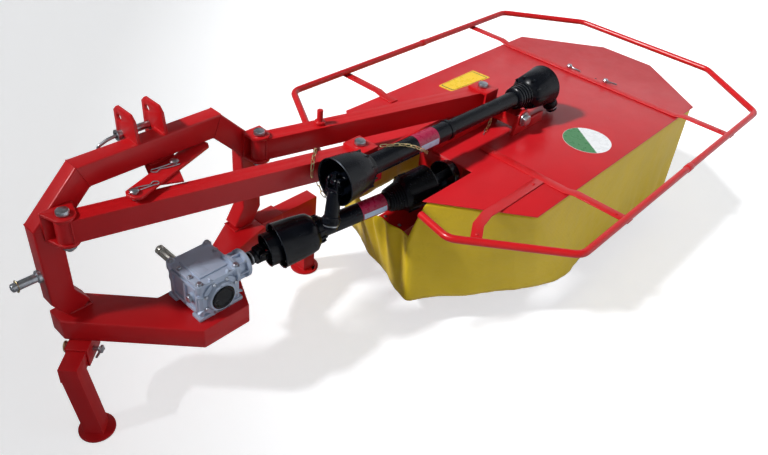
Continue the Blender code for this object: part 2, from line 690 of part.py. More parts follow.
# ---------------------------------------------------------------- stands
def stand(name, axis, way, reach, lean, pivot):
    """An L of square tube: its upper arm slides in the socket, its foot is a round plate."""
    end = axis + way * (reach + STAND_TUBE / 2)
    body = piece(name, beam(axis + way * STAND_SEAT, end, STAND_TUBE, STAND_TUBE), "red", pivot)
    corner = axis + way * reach
    sole = Vector((corner.x, corner.y, FOOT_THICK / 2)) + lean
    leg = bmesh.new()
    bmesh.ops.create_cube(leg, size=1.0)
    bmesh.ops.scale(leg, verts=leg.verts, vec=(STAND_TUBE, STAND_TUBE, corner.z - sole.z))
    turn = Matrix((way, (-way.y, way.x, 0), (0, 0, 1))).transposed().to_4x4()
    bmesh.ops.transform(leg, matrix=Matrix.Translation((corner + sole) / 2) @ turn, verts=leg.verts)
    for vert in leg.verts:
        vert.co += lean * (-0.5 if vert.co.z > (corner.z + sole.z) / 2 else 0.5)
    foot = upright(sole, 0, FOOT_THICK, FOOT_RADIUS, 32)
    combine(body, "UNION", cutter(name + "_leg", leg, pivot), cutter(name + "_foot", foot, pivot))


def socket(name, axis, way, root):
    """The square tube that a stand's arm slides in, open at its outer end."""
    tube_end = axis + way * SOCKET_LENGTH
    body = piece(name, beam(axis + way * GAP, tube_end, SOCKET_TUBE, SOCKET_TUBE), "red", root)
    room = STAND_TUBE + 2 * GAP
    hollow = beam(axis + way * (STAND_SEAT - GAP * 2), tube_end + way * 0.05, room, room)
    combine(body, "DIFFERENCE", cutter(name + "_hollow", hollow, root))


# ---------------------------------------------------------------- mower
def cover(mower):
    """The cover plate, open at its left end for the driveshaft."""
    outline = octagon(COVER_LENGTH / 2, COVER_WIDTH / 2, COVER_CHAMFER_X, COVER_CHAMFER_Y)
    plate = piece("cover", prism(outline, up(-COVER_SHEET), COVER_SHEET), "red", mower)
    notch = box((-COVER_LENGTH, NOTCH_REAR, up(-0.1)), (NOTCH_X, NOTCH_FRONT, up(0.1)))
    combine(plate, "DIFFERENCE", cutter("cover_notch", notch, mower))


def shrunk(outline, distance):
    """A convex outline in plan with each side moved in by a distance."""
    result = []
    for index, point in enumerate(outline):
        point = Vector(point)
        back = (Vector(outline[index - 1]) - point).normalized()
        ahead = (Vector(outline[(index + 1) % len(outline)]) - point).normalized()
        half = back.angle(ahead) / 2
        result.append(point + (back + ahead).normalized() * distance / math.sin(half))
    return result


def skirt(mower):
    """The fabric skirt round the drums: a thin wall from the cover's edge to the hem."""
    side_parts = 6

    def ring(outline, bends, inset, z):
        path = rounded([(x, y, z) for x, y in shrunk(outline, inset)], bends, 3, True)
        points = []
        for index, first in enumerate(path):
            last = path[(index + 1) % len(path)]
            parts = side_parts if index % 4 == 3 else 1
            points += [first.lerp(last, part / parts) for part in range(parts)]
        return points

    edge = octagon(COVER_LENGTH / 2, COVER_WIDTH / 2, COVER_CHAMFER_X, COVER_CHAMFER_Y)
    top_bends = [SKIRT_TOP_BEND] * len(edge)
    top = up(-COVER_SHEET - GAP)
    low = SKIRT_HEM_HEIGHT
    loops = [ring(edge, top_bends, SKIRT_INSET, top), ring(SKIRT_HEM, SKIRT_HEM_BENDS, 0, low),
             ring(SKIRT_HEM, SKIRT_HEM_BENDS, SKIRT_WALL, low),
             ring(edge, top_bends, SKIRT_INSET + SKIRT_WALL, top)]
    for loop in (loops[0], loops[3]):
        for point in loop:
            if point.x < SKIRT_OPEN_X and point.y > SKIRT_OPEN_REAR:
                point.z = up(-SKIRT_OPEN_DROP)
    bm = bmesh.new()
    rows = [[bm.verts.new(point) for point in loop] for loop in loops]
    for first, second in zip(rows, rows[1:] + rows[:1]):
        for index in range(len(first)):
            bm.faces.new((first[index - 1], first[index], second[index], second[index - 1]))
    piece("skirt", bm, "yellow", mower)


def gear_beam(mower):
    """The gear housing over the drums, with the drums' bearing necks and the input."""
    top = up(-COVER_SHEET - GAP)
    low = up(BEAM_LOW)
    housing = box((BEAM_LEFT, -BEAM_HALF_WIDTH, low), (BEAM_RIGHT, BEAM_HALF_WIDTH, top))
    body = piece("gear_beam", housing, "red", mower)
    for index, side in enumerate((-1, 1)):
        at = Vector((side * DRUM_SPACING / 2, 0, 0))
        neck = upright(at, low - 0.020, low + 0.05, NECK_RADIUS, 32)
        axle = upright(at, low - 0.020 - AXLE_LENGTH, low + 0.05, AXLE_RADIUS, 32)
        combine(body, "UNION", cutter(f"gear_beam_neck_{index}", neck, mower),
                cutter(f"gear_beam_axle_{index}", axle, mower))
    face = Vector((BEAM_LEFT - GAP, JOINT_MOWER.y, JOINT_MOWER.z))
    stub = rod(face, JOINT_MOWER + Vector((0.020, 0, 0)), OUTPUT_RADIUS)
    piece("mower_input", stub, "steel", mower)
    ring = GUARD_RADIUS
    profile = [(0.0, GUARD_BORE), (0.0, 0.060), (0.030, ring), (0.046, ring), (0.046, ring - 0.005),
               (0.032, ring - 0.006), (0.008, 0.050), (0.008, GUARD_BORE)]
    piece("input_guard", turned(profile, face, face - Vector((1, 0, 0))), "black", mower)


def input_tray(mower):
    """The plate under the mower's universal joint, which the skirt's left end hangs from."""
    top = up(TRAY_LEVEL)
    outline = [(TRAY_RIGHT, -0.075), (TRAY_RIGHT, 0.050), (TRAY_LEFT, 0.045), (TRAY_LEFT, -0.080)]
    tray = piece("input_tray", prism(outline, top - TRAY_THICK, TRAY_THICK), "red", mower)
    flange = box((TRAY_RIGHT, -0.070, top - TRAY_THICK), (TRAY_RIGHT + TRAY_THICK, 0.045, up(-0.120)))
    combine(tray, "UNION", cutter("input_tray_flange", flange, mower))


def tilt_pivot(mower):
    """The ear on the cover and the bolt on which the carrier tilts."""
    def level(rise):
        return up(TILT_RISE + rise)

    outline = [(TILT_X - 0.060, up(GAP))]
    for step in range(9):
        turn = math.pi - math.radians(160) * step / 8
        outline.append((TILT_X + 0.042 * math.cos(turn), level(0.038 * math.sin(turn))))
    outline += [(TILT_X + 0.060, up(0.045)), (-0.044, up(0.045)), (-0.040, up(GAP))]
    ear = piece("tilt_ear", prism(outline, TILT_EAR_REAR, TILT_EAR_THICK, "y"), "red", mower)
    def along(start, end, radius, sides=24):
        return rod((TILT_X, start, level(0)), (TILT_X, end, level(0)), radius, sides)

    combine(ear, "DIFFERENCE",
            cutter("tilt_ear_bore", along(TILT_EAR_REAR - 0.02, 0, TILT_BOLT + GAP), mower))
    face = TILT_EAR_REAR - GAP
    bolt = piece("tilt_bolt", along(face - 0.022, -0.030, TILT_BOLT), "zinc", mower)
    combine(bolt, "UNION",
            cutter("tilt_bolt_washer", along(face - 0.004, face, 0.030), mower),
            cutter("tilt_bolt_head", along(face - 0.022, face - 0.003, 0.023, 6), mower))


def drum(name, x, pivot):
    """A drum with its cutting disc and blades, and the skid disc under it."""
    top = up(BEAM_LOW) - 0.020 - RUN
    rim = 0.060
    bore = AXLE_RADIUS + 0.0008
    floor = AXLE_LENGTH + 0.010
    height = top - rim
    profile = [
        (0.0, 0.0), (0.0, DISC_RADIUS - 0.010), (0.006, DISC_RADIUS), (0.012, DISC_RADIUS - 0.006),
        (0.030, DISC_RADIUS - 0.030), (0.060, DRUM_RADIUS + 0.02), (0.100, DRUM_RADIUS),
        (height - 0.010, DRUM_RADIUS), (height, DRUM_RADIUS - 0.010), (height, bore),
        (height - floor, bore), (height - floor, 0.0),
    ]
    body = piece(name, turned(profile, (x, 0, rim), (x, 0, 1), 32), "red", pivot)
    middle = Vector((x, 0, rim + 0.005))
    for index in range(BLADE_COUNT):
        turn = BLADE_TURN + math.tau * index / BLADE_COUNT + (math.tau / 4 if x > 0 else 0.0)
        way = Vector((math.cos(turn), math.sin(turn), 0))
        blade = beam(middle + way * (DISC_RADIUS - 0.04), middle + way * BLADE_REACH, 0.045, 0.004)
        combine(body, "UNION", cutter(f"{name}_blade_{index}", blade, pivot))
    profile = [(0.0, 0.0), (0.0, 0.130), (0.010, SKID_RADIUS - 0.035), (0.034, SKID_RADIUS),
               (0.040, SKID_RADIUS - 0.004), (0.044, SKID_RADIUS - 0.060),
               (rim - GAP, 0.120), (rim - GAP, 0.0)]
    piece(name + "_skid", turned(profile, (x, 0, 0), (x, 0, 1), 32), "steel", pivot)


def carrier(mower):
    """The mower's side of the arms: a beam on the cover with a fork for each arm's end."""
    top = ARM_BOTTOM - GAP - PLATE
    rear = CARRIER_REAR
    front = END_NEAR.y + CARRIER_FRONT_REACH
    left = END_NEAR.x - 0.042
    body = piece("carrier", box((left, rear, up(GAP)), (END_FAR.x + 0.10, front, top)), "red", mower)
    parts = [box((TILT_X - 0.036, TILT_EAR_REAR + TILT_EAR_THICK + GAP, up(0.026)),
                 (TILT_X + 0.036, rear + 0.010, up(0.0775)))]
    for at in (END_NEAR, END_FAR):
        low, high = at.x - CARRIER_FORK, at.x + CARRIER_FORK
        web = rear - 0.010
        parts.append(box((low, web, top - 0.001), (high, front, ARM_BOTTOM - GAP)))
        parts.append(box((low, web, ARM_TOP + GAP), (high, front, ARM_TOP + GAP + PLATE)))
        parts.append(box((low, web, up(0.020)), (high, web + 0.008, ARM_TOP + GAP + PLATE)))
    for index, bm in enumerate(parts):
        combine(body, "UNION", cutter(f"carrier_part_{index}", bm, mower))
    arch_from, arch_to, arch_rise = ARCH
    cuts = [bolt_bore(END_NEAR), bolt_bore(END_FAR),
            rod((TILT_X, -0.15, up(TILT_RISE)), (TILT_X, -0.020, up(TILT_RISE)), TILT_BOLT + GAP),
            box((arch_from, rear - 0.05, up(-0.02)), (arch_to, front + 0.05, up(arch_rise)))]
    for index, bm in enumerate(cuts):
        combine(body, "DIFFERENCE", cutter(f"carrier_cut_{index}", bm, mower))


def straps(mower):
    """Flat bars across the cover that hold the guard rail."""
    under = RAIL_HEIGHT - RAIL_RADIUS - GAP
    lift = under - STRAP_THICK
    low = up(GAP)
    edge = COVER_WIDTH / 2
    rear = [(RAIL_REAR - 0.010, lift), (-edge - 0.02, lift), (-edge + 0.02, low)]
    front = [(edge - 0.02, low), (edge + 0.02, lift), (RAIL_FRONT + 0.010, lift)]
    side = [(STRAP_LEFT_X - STRAP_WIDTH / 2 - GAP, 0, low), (-0.700, 0, low), (-0.785, -0.004, lift),
            (-0.860, -0.022, lift), (-0.948, -0.076, lift)]
    table = (                   # name, points along the underside
        ("right_strap", [(STRAP_RIGHT_X, y, z) for y, z in rear + front]),
        ("left_rear_strap", [(STRAP_LEFT_X, y, z) for y, z in rear + [(-0.070, low)]]),
        ("left_front_strap", [(STRAP_LEFT_X, y, z) for y, z in [(0.400, low)] + front]),
        ("side_strap", [(x, SIDE_STRAP_Y + y, z) for x, y, z in side]),
    )
    for name, points in table:
        piece(name, flat_bar(points, STRAP_WIDTH, STRAP_THICK), "red", mower)


def rails(mower):
    """The guard rail in two halves, with mitred round bends."""
    z = RAIL_HEIGHT
    left = [RAIL_REAR_END, (RAIL_LEFT, RAIL_REAR + RAIL_CORNER_Y), (RAIL_LEFT + RAIL_CORNER_X, RAIL_REAR),
            (-GAP, RAIL_REAR)]
    right = [(0, RAIL_REAR), (RAIL_RIGHT - RAIL_CORNER_X, RAIL_REAR),
             (RAIL_RIGHT, RAIL_REAR + RAIL_CORNER_Y), (RAIL_RIGHT, RAIL_FRONT - RAIL_CORNER_Y),
             (RAIL_RIGHT - RAIL_CORNER_X, RAIL_FRONT), (RAIL_LEFT + RAIL_CORNER_X, RAIL_FRONT),
             (RAIL_LEFT, RAIL_FRONT - RAIL_LONG_CORNER_Y), RAIL_FRONT_END]
    for name, points in (("rear_rail", left), ("front_rail", right)):
        path = rounded([(x, y, z) for x, y in points], RAIL_BEND, 3)
        tube(name, path, RAIL_RADIUS, "red", mower, 4)


def main():
    clear_scene()
    root = empty("datum", (0, 0, 0), None)
    headstock(root)
    lower_frame(root)
    hitch(root)
    fork(HINGE_NEAR, HEAD_REAR - GAP, 0.050, "near_hinge", "red", root)
    fork(HINGE_FAR, HEAD_REAR - GAP, 0.038, "far_hinge", "red", root)
    hinge_bolt("near_hinge_bolt", HINGE_NEAR, root)
    hinge_bolt("far_hinge_bolt", HINGE_FAR, root)
    lock_link(root)
    gearbox(root)
    socket("left_socket", LEFT_STAND_AXIS, LEFT_STAND_WAY, root)
    socket("right_socket", RIGHT_STAND_AXIS, RIGHT_STAND_WAY, root)
    near = empty("near_arm_pivot", HINGE_NEAR, root)
    arm("near_arm", HINGE_NEAR, END_NEAR, near)
    chain("arm_chain", [
        (-1.202, 0.080, ARM_TOP - 0.036), (-1.198, 0.085, ARM_TOP - 0.012),
        (-1.190, 0.091, ARM_TOP + 0.0045), (-1.179, 0.104, ARM_TOP + 0.0057),
        (-1.150, 0.128, ARM_TOP + 0.0056), (-1.126, 0.145, ARM_TOP + 0.0064),
        (-1.120, 0.1550, ARM_TOP + 0.0045), (-1.118, 0.1585, ARM_TOP - 0.0050),
        (-1.114, 0.1575, ARM_TOP - 0.032), (-1.108, 0.1540, ARM_BOTTOM - 0.030),
        (-1.103, 0.136, ARM_BOTTOM - 0.085), (-1.100, 0.108, ARM_BOTTOM - 0.106),
    ], near)
    far = empty("far_arm_pivot", HINGE_FAR, root)
    arm("far_arm", HINGE_FAR, END_FAR, far)
    arm_pin(far)
    mower = empty("mower_pivot", END_NEAR, root)
    cover(mower)
    skirt(mower)
    gear_beam(mower)
    input_tray(mower)
    carrier(mower)
    tilt_pivot(mower)
    spare_driveshaft(mower)
    wraps = (                   # along the spare shaft, turn over it, distance from its axis
        (-0.950, -32, 0.0470), (-0.928, -10, 0.0430), (-0.892, 14, 0.0418), (-0.858, 40, 0.0418),
        (-0.828, 66, 0.0418), (-0.798, 94, 0.0418), (-0.772, 124, 0.0430), (-0.748, 155, 0.0440),
        (-0.728, 184, 0.0520), (-0.714, 212, 0.0700),
    )
    route = []
    for x, degrees, reach in wraps:
        share = (x - SPARE_LEFT.x) / (SPARE_RIGHT.x - SPARE_LEFT.x)
        turn = math.radians(degrees)
        out = Vector((0, -math.sin(turn), math.cos(turn)))
        route.append(SPARE_LEFT.lerp(SPARE_RIGHT, share) + out * reach)
    chain("fork_chain", route, mower)
    chain("hook_chain", [
        (-0.255, 0.0200, up(0.0700)), (-0.262, 0.0190, up(0.0450)), (-0.268, 0.0150, up(0.0160)),
        (-0.285, 0.0100, up(0.0062)), (-0.310, 0.0030, up(0.0056)), (-0.336, -0.0090, up(0.0056)),
    ], mower)
    straps(mower)
    rails(mower)
    hinge_bolt("near_end_bolt", END_NEAR, mower, False)
    hinge_bolt("far_end_bolt", END_FAR, mower, False)
    for name, side in (("left_drum", -1), ("right_drum", 1)):
        x = side * DRUM_SPACING / 2
        drum(name, x, empty(name + "_axis", (x, 0, 0), mower))
    front = empty("driveshaft_pivot", JOINT_GEARBOX, root)
    driveshaft(front, empty("driveshaft_slide", JOINT_GEARBOX, front))
    stand("left_stand", LEFT_STAND_AXIS, LEFT_STAND_WAY, LEFT_STAND_REACH, LEFT_STAND_LEAN,
          empty("left_stand_slide", LEFT_STAND_AXIS, root))
    stand("right_stand", RIGHT_STAND_AXIS, RIGHT_STAND_WAY, RIGHT_STAND_REACH, RIGHT_STAND_LEAN,
          empty("right_stand_slide", RIGHT_STAND_AXIS, root))


main()
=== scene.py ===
"""A side-mounted drum mower, parked on its stands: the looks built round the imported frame."""
import math
import random

import bmesh
import bpy
from mathutils import Matrix, Vector


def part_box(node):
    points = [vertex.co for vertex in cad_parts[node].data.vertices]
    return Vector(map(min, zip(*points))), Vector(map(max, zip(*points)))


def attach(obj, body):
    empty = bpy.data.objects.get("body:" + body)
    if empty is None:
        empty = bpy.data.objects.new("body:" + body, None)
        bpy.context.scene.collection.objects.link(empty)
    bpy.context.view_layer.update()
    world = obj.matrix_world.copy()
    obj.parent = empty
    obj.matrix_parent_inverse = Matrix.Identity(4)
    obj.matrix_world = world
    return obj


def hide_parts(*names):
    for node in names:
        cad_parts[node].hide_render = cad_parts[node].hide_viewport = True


bl_info = {
    "name": "Drum Mower",
    "version": (1, 0, 0),
    "blender": (4, 5, 0),
    "location": "View3D > Sidebar > Mower",
    "description": "Builds a side-mounted drum mower round its packed frame",
    "category": "Object",
}

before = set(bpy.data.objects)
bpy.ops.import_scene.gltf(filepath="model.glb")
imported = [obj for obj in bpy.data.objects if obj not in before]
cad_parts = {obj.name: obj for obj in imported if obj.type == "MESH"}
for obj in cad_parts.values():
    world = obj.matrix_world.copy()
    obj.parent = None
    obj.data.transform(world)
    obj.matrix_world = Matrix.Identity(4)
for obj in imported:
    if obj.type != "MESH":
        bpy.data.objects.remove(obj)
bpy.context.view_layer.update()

# Every size is in metres. Pieces are modelled from the machine's datum, on the ground under the
# middle of the cover: x to the machine's right, y forward, z up.
COVER_LOW, COVER_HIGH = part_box("cover")
DATUM = Vector(((COVER_LOW.x + COVER_HIGH.x) / 2, (COVER_LOW.y + COVER_HIGH.y) / 2, 0.0))
COVER_TOP = COVER_HIGH.z
RIGHT, FORWARD, UP = Vector((1, 0, 0)), Vector((0, 1, 0)), Vector((0, 0, 1))
REAR_LEFT = Vector((-0.5, -0.6, 0.65))      # the side that labels are read from
NEAT = math.radians(35)         # edges sharper than this are shaded as edges


def box(node):
    """A CAD node's lowest and highest corner, from the machine's datum."""
    low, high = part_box(node)
    return low - DATUM, high - DATUM


def middle_of(node):
    low, high = box(node)
    return (low + high) / 2


def above(rise):
    """A height given from the cover's top."""
    return COVER_TOP + rise


# ---------------------------------------------------------------- frame sizes
COVER_HALF_X = (COVER_HIGH.x - COVER_LOW.x) / 2
COVER_HALF_Y = (COVER_HIGH.y - COVER_LOW.y) / 2
COVER_CUT_X, COVER_CUT_Y = 0.255, 0.343         # the cover's cut corners

HOOP_LOW, HOOP_HIGH = box("left_leg")[0], box("right_leg")[1]
HOOP_TOP = box("top_beam")[1].z
HOOP_SLOPE = 0.157              # height and width of its sloping corners
HOOP_MITRE = math.radians(22.5)
HOOP_TUBE = (0.08, 0.06)
HOOP_FEET = 0.0865              # from its outer faces to the middle of its feet
FRAME_TOP = box("lower_frame")[1].z

ARM_BOTTOM, ARM_TOP = box("near_arm")[0].z, box("near_arm")[1].z
HINGES = {"near": Vector((-1.918, 0.338, 0)), "far": Vector((-1.211, 0.338, 0))}
ARM = Vector((math.cos(math.radians(-15.7)), math.sin(math.radians(-15.7)), 0)) * 0.969

SHAFT_FRONT = Vector((-1.385, 0.125, above(-0.138)))        # its universal joints
SHAFT_REAR = Vector((-0.725, -0.05, above(-0.052)))
SPARE_LEFT = Vector((-1.18, -0.0058, above(0.13)))
SPARE_RIGHT = Vector((0.015, -0.042, above(0.13)))
SPARE_RIM_BACK = 0.02          # the spare shaft's right bell stops short of its joint

RAIL_RADIUS = 0.0135
RAIL_BEND = 0.06
RAIL_RISE = 0.029
CHAIN_WIRE = 0.0036
CHAIN_WIDTH = 0.014
CHAIN_LINK = 0.03


# ---------------------------------------------------------------- settings
def metres(name, default, description):
    return bpy.props.FloatProperty(name=name, description=description, default=default, unit="LENGTH")


def brightness(name, default, description):
    return bpy.props.FloatProperty(name=name, description=description, default=default)


class MowerSizes(bpy.types.PropertyGroup):
    """Sizes and lights that a user may change."""

    edge: metres("Edge", 0.0022, "Rounding of the welded parts' edges")
    tube_edge: metres("Tube edge", 0.006, "Rounding of the square tubes' corners")
    weld: metres("Weld", 0.0042, "Radius of a weld bead")
    skirt_folds: metres("Skirt folds", 0.012, "Depth of the folds at the skirt's hem")
    key_light: brightness("Key light", 3.9, "Strength of the sun over the machine's left front")
    fill_light: brightness("Fill light", 9.0, "Power of the large lamp by the camera")
    sky_light: brightness("Sky light", 0.14, "Strength of the light from all round")


def linear(code):
    """An sRGB hex colour as linear values."""
    parts = [int(code[index:index + 2], 16) / 255 for index in (0, 2, 4)]
    return tuple(part / 12.92 if part <= 0.04045 else ((part + 0.055) / 1.055) ** 2.4 for part in parts)


def colour(name, code, description):
    return bpy.props.FloatVectorProperty(
        name=name, description=description, subtype="COLOR", size=3, min=0, max=1, default=linear(code))


class MowerColours(bpy.types.PropertyGroup):
    """Colours of the finishes."""

    enamel: colour("Enamel", "C4141A", "Red enamel of the welded parts")
    # the cover's red is a little pinker and bluer than the other enamel: a painted sheen that stands for the
    # sky's reflection on its glossy sheet
    cover_enamel: colour("Cover enamel", "C41A22", "Red enamel of the cover's sheet")
    fabric: colour("Fabric", "DBBA04", "Coated fabric of the skirt")
    plastic: colour("Plastic", "070A11", "Moulded guards of the driveshafts")
    # silver paint with a blue tint: the blue is a painted reflection of the sky on the casting
    casting: colour("Casting", "B0BDD2", "Gearbox casting")
    label: colour("Label", "A31C44", "Ground of the labels on the driveshafts")
    band: colour("Band", "B9CCE6", "Blank band of the labels")
    sticker: colour("Sticker", "F2C81E", "Ground of the label on the cover")


# ---------------------------------------------------------------- finishes
def add(tree, kind, settings=None, links=None):
    """Adds a node to a tree, sets its sockets and properties, and links its inputs."""
    node = tree.nodes.new("ShaderNode" + kind)
    for key, value in (settings or {}).items():
        if isinstance(key, int) or key in node.inputs:
            node.inputs[key].default_value = value
        else:
            setattr(node, key, value)
    for key, source in (links or {}).items():
        tree.links.new(source, node.inputs[key])
    return node


def surface(name, settings):
    """A new material with a Principled shader, and the tree and place that its pattern starts from."""
    material = bpy.data.materials.new(name)
    material.use_nodes = True
    tree = material.node_tree
    tree.nodes.clear()
    shader = add(tree, "BsdfPrincipled", settings)
    add(tree, "OutputMaterial", links={"Surface": shader.outputs["BSDF"]})
    place = add(tree, "TexCoord").outputs["Object"]
    return material, tree, shader, place


def shade(tree, base, other, factor):
    """Mixes two colours by a factor socket and returns the colour socket."""
    return add(tree, "Mix", {"data_type": "RGBA", 6: (*base, 1), 7: (*other, 1)}, {0: factor}).outputs[2]


def tinted(rgb, share):
    """A colour made lighter, above 1, or darker."""
    return tuple(min(1.0, part * share) for part in rgb)


def spread(tree, source, low, high, from_low=0.0, from_high=1.0):
    """A pattern's value stretched to a new range."""
    node = add(tree, "MapRange", {"From Min": from_low, "From Max": from_high, "To Min": low, "To Max": high},
               {"Value": source})
    return node.outputs["Result"]


def noise(tree, place, size, detail, roughness=0.55):
    """Noise whose grains are about `size` metres across."""
    settings = {"Scale": 1 / size, "Detail": detail, "Roughness": roughness}
    return add(tree, "TexNoise", settings, {"Vector": place}).outputs["Fac"]


def bands(tree, place, direction, scale, distortion=0.0):
    """Stripes across a direction."""
    settings = {"wave_type": "BANDS", "bands_direction": direction, "Scale": scale, "Distortion": distortion}
    return add(tree, "TexWave", settings, {"Vector": place}).outputs["Fac"]


def raise_by(tree, shader, height, distance, strength, under=None):
    """Bumps a shader by a height pattern, `distance` metres deep."""
    links = {"Height": height} if under is None else {"Height": height, "Normal": under}
    bump = add(tree, "Bump", {"Strength": strength, "Distance": distance}, links)
    tree.links.new(bump.outputs["Normal"], shader.inputs["Normal"])
    return bump.outputs["Normal"]


def paint(name, base, other, settings, cloud, rough, bump, share=None, gloss=None):
    """The usual build-up: a cloud mixes two colours and varies the gloss, over a fine bump.

    `cloud` and `gloss` are a noise's size, detail and roughness, `share` stretches the cloud before it
    mixes, and `bump` is a noise's size and detail with its depth and strength."""
    material, tree, shader, place = surface(name, settings)
    fog = noise(tree, place, *cloud)
    mixing = spread(tree, fog, *share) if share else fog
    tree.links.new(shade(tree, base, other, mixing), shader.inputs["Base Color"])
    dull = noise(tree, place, *gloss) if gloss else fog
    tree.links.new(spread(tree, dull, *rough), shader.inputs["Roughness"])
    size, detail, depth, strength = bump
    raise_by(tree, shader, noise(tree, place, size, detail), depth, strength)
    return material


def enamel(name, rgb):
    """Sprayed alkyd enamel on welded steel: a slightly orange-peeled gloss, a little uneven in depth and
    dulled in patches by handling."""
    settings = {"IOR": 1.5, "Specular IOR Level": 0.34, "Coat Weight": 0.1, "Coat Roughness": 0.15}
    # orange peel is about 1.5 mm from crest to crest, drawn at 6 mm so that it shows
    return paint(name, tinted(rgb, 0.88), tinted(rgb, 1.08), settings, (0.16, 2.0), (0.26, 0.42),
                 (0.006, 0.0, 0.0002, 0.35), gloss=(0.06, 2.0))


def coated_fabric(name, rgb):
    """PVC-coated polyester tarpaulin: a soft sheen over a plain weave, with creases and handling marks."""
    material, tree, shader, place = surface(name, {
        "IOR": 1.45, "Sheen Weight": 0.12, "Sheen Roughness": 0.5, "Specular IOR Level": 0.35})
    cloud = noise(tree, place, 0.18, 4.0)
    tone = shade(tree, tinted(rgb, 0.84), tinted(rgb, 1.06), cloud)
    grime = noise(tree, place, 0.045, 6.0, 0.7)
    mix = add(tree, "Mix", {"data_type": "RGBA", 7: (*linear("9C7F14"), 1)},
              {0: spread(tree, grime, 0.0, 0.3, 0.58, 0.85), 6: tone})
    tree.links.new(mix.outputs[2], shader.inputs["Base Color"])
    tree.links.new(spread(tree, grime, 0.42, 0.62), shader.inputs["Roughness"])
    # threads are about 1 mm apart, drawn 3 mm apart so that they show
    warp, weft = bands(tree, place, "Z", 52.0), bands(tree, place, "DIAGONAL", 36.0)
    weave = add(tree, "Math", {"operation": "MULTIPLY"}, {0: warp, 1: weft})
    fine = raise_by(tree, shader, weave.outputs[0], 0.0004, 0.45)
    crumple = noise(tree, place, 0.07, 3.0)
    raise_by(tree, shader, crumple, 0.01, 0.35, fine)
    return material


def moulded_plastic(name, rgb):
    """Moulded polyethylene: satin black with a fine spark-eroded grain, scuffed grey on its high spots."""
    # the grain is about 0.3 mm, drawn at 2 mm so that it shows
    return paint(name, rgb, linear("2A3440"), {"IOR": 1.5, "Specular IOR Level": 0.24}, (0.03, 6.0, 0.7),
                 (0.2, 0.32), (0.002, 1.0, 0.0002, 0.5), share=(0.0, 0.16, 0.55, 0.85))


def sand_casting(name, rgb):
    """Aluminium-painted sand casting: matt silver grey, pebbled by the sand, darker where oil has crept."""
    # sand leaves pits of about 0.5 mm, drawn at 3 mm so that they show
    return paint(name, tinted(rgb, 0.86), tinted(rgb, 1.1), {"Metallic": 0.15}, (0.06, 4.0), (0.32, 0.48),
                 (0.003, 2.0, 0.0005, 0.6))


def plated(name, rgb, patch, rough=(0.22, 0.42)):
    """Electroplated zinc, clear or yellow passivated, and like metal: bright with faint cloudy patches."""
    return paint(name, rgb, patch, {"Metallic": 1.0}, (0.008, 4.0), rough, (0.003, 1.0, 0.0001, 0.4),
                 share=(0.0, 0.8, 0.35, 0.7))


def turned_steel(name, rgb):
    """Bare steel off the lathe: fine tool rings, a film of oil, and brown flash rust in spots."""
    material, tree, shader, place = surface(name, {"Metallic": 1.0})
    spots = noise(tree, place, 0.014, 6.0, 0.7)
    tone = shade(tree, rgb, linear("6A4630"), spread(tree, spots, 0.0, 0.7, 0.58, 0.74))
    tree.links.new(tone, shader.inputs["Base Color"])
    tree.links.new(spread(tree, spots, 0.24, 0.52), shader.inputs["Roughness"])
    # tool rings are 0.2 mm apart, drawn 2 mm apart so that they show
    raise_by(tree, shader, bands(tree, place, "X", 80.0, 0.4), 0.0001, 0.5)
    return material


def printed_film(name, rgb):
    """Printed vinyl film: an even gloss colour, a little faded, with small bubbles under it."""
    return paint(name, tinted(rgb, 0.97), tinted(rgb, 1.03), {"IOR": 1.48}, (0.02, 3.0), (0.22, 0.34),
                 (0.012, 1.0, 0.00005, 0.3))


def weld_metal(name, rgb):
    """Painted weld bead: the same enamel over the overlapping scales of the weld."""
    return paint(name, tinted(rgb, 0.72), tinted(rgb, 1.05), {"IOR": 1.5, "Specular IOR Level": 0.34},
                 (0.01, 3.0), (0.28, 0.45), (0.01, 3.0, 0.0006, 0.6))


def backdrop_paint(name):
    """Matt white studio paint, lifted to white for the camera so that only shadows show on it."""
    material, tree, shader, place = surface(
        name, {"Specular IOR Level": 0.1, "Emission Color": (1, 1, 1, 1)})
    grain = noise(tree, place, 0.6, 2.0)
    tree.links.new(shade(tree, linear("D2D4D8"), linear("D8DADC"), grain), shader.inputs["Base Color"])
    tree.links.new(spread(tree, grain, 0.85, 0.95), shader.inputs["Roughness"])
    seen = add(tree, "LightPath").outputs["Is Camera Ray"]
    tree.links.new(spread(tree, seen, 0.0, 0.62), shader.inputs["Emission Strength"])
    return material


def finishes():
    """Each finish's maker with its colours, and the record's slot that it belongs to."""
    colours = bpy.context.scene.mower_colours
    own = {name: tuple(getattr(colours, name)) for name in MowerColours.__annotations__}
    return {
        "red_enamel": (enamel, (own["enamel"],), "red_paint"),
        "cover_enamel": (enamel, (own["cover_enamel"],), "red_paint"),
        "weld_metal": (weld_metal, (own["enamel"],), "red_paint"),
        "coated_fabric": (coated_fabric, (own["fabric"],), "yellow_fabric"),
        "moulded_plastic": (moulded_plastic, (own["plastic"],), "black_plastic"),
        "sand_casting": (sand_casting, (own["casting"],), "cast_aluminium"),
        "clear_zinc": (plated, (linear("C3C7CC"), linear("9CA1A8")), "zinc"),
        "yellow_zinc": (plated, (linear("E2D3A2"), linear("BFA878")), "zinc"),
        "forged_steel": (plated, (linear("3C4046"), linear("23262A"), (0.35, 0.55)), "bare_steel"),
        "silver_paint": (plated, (linear("C6CCD6"), linear("A2AAB6"), (0.32, 0.5)), "cast_aluminium"),
        "turned_steel": (turned_steel, (linear("A7A39C"),), "bare_steel"),
        "label_film": (printed_film, (own["label"],), "black_plastic"),
        "band_film": (printed_film, (own["band"],), "black_plastic"),
        "sticker_film": (printed_film, (own["sticker"],), "red_paint"),
        "white_film": (printed_film, (linear("E4E6E8"),), "red_paint"),
        "green_film": (printed_film, (linear("3E7D4C"),), "red_paint"),
        "dark_film": (printed_film, (linear("26282C"),), "red_paint"),
    }


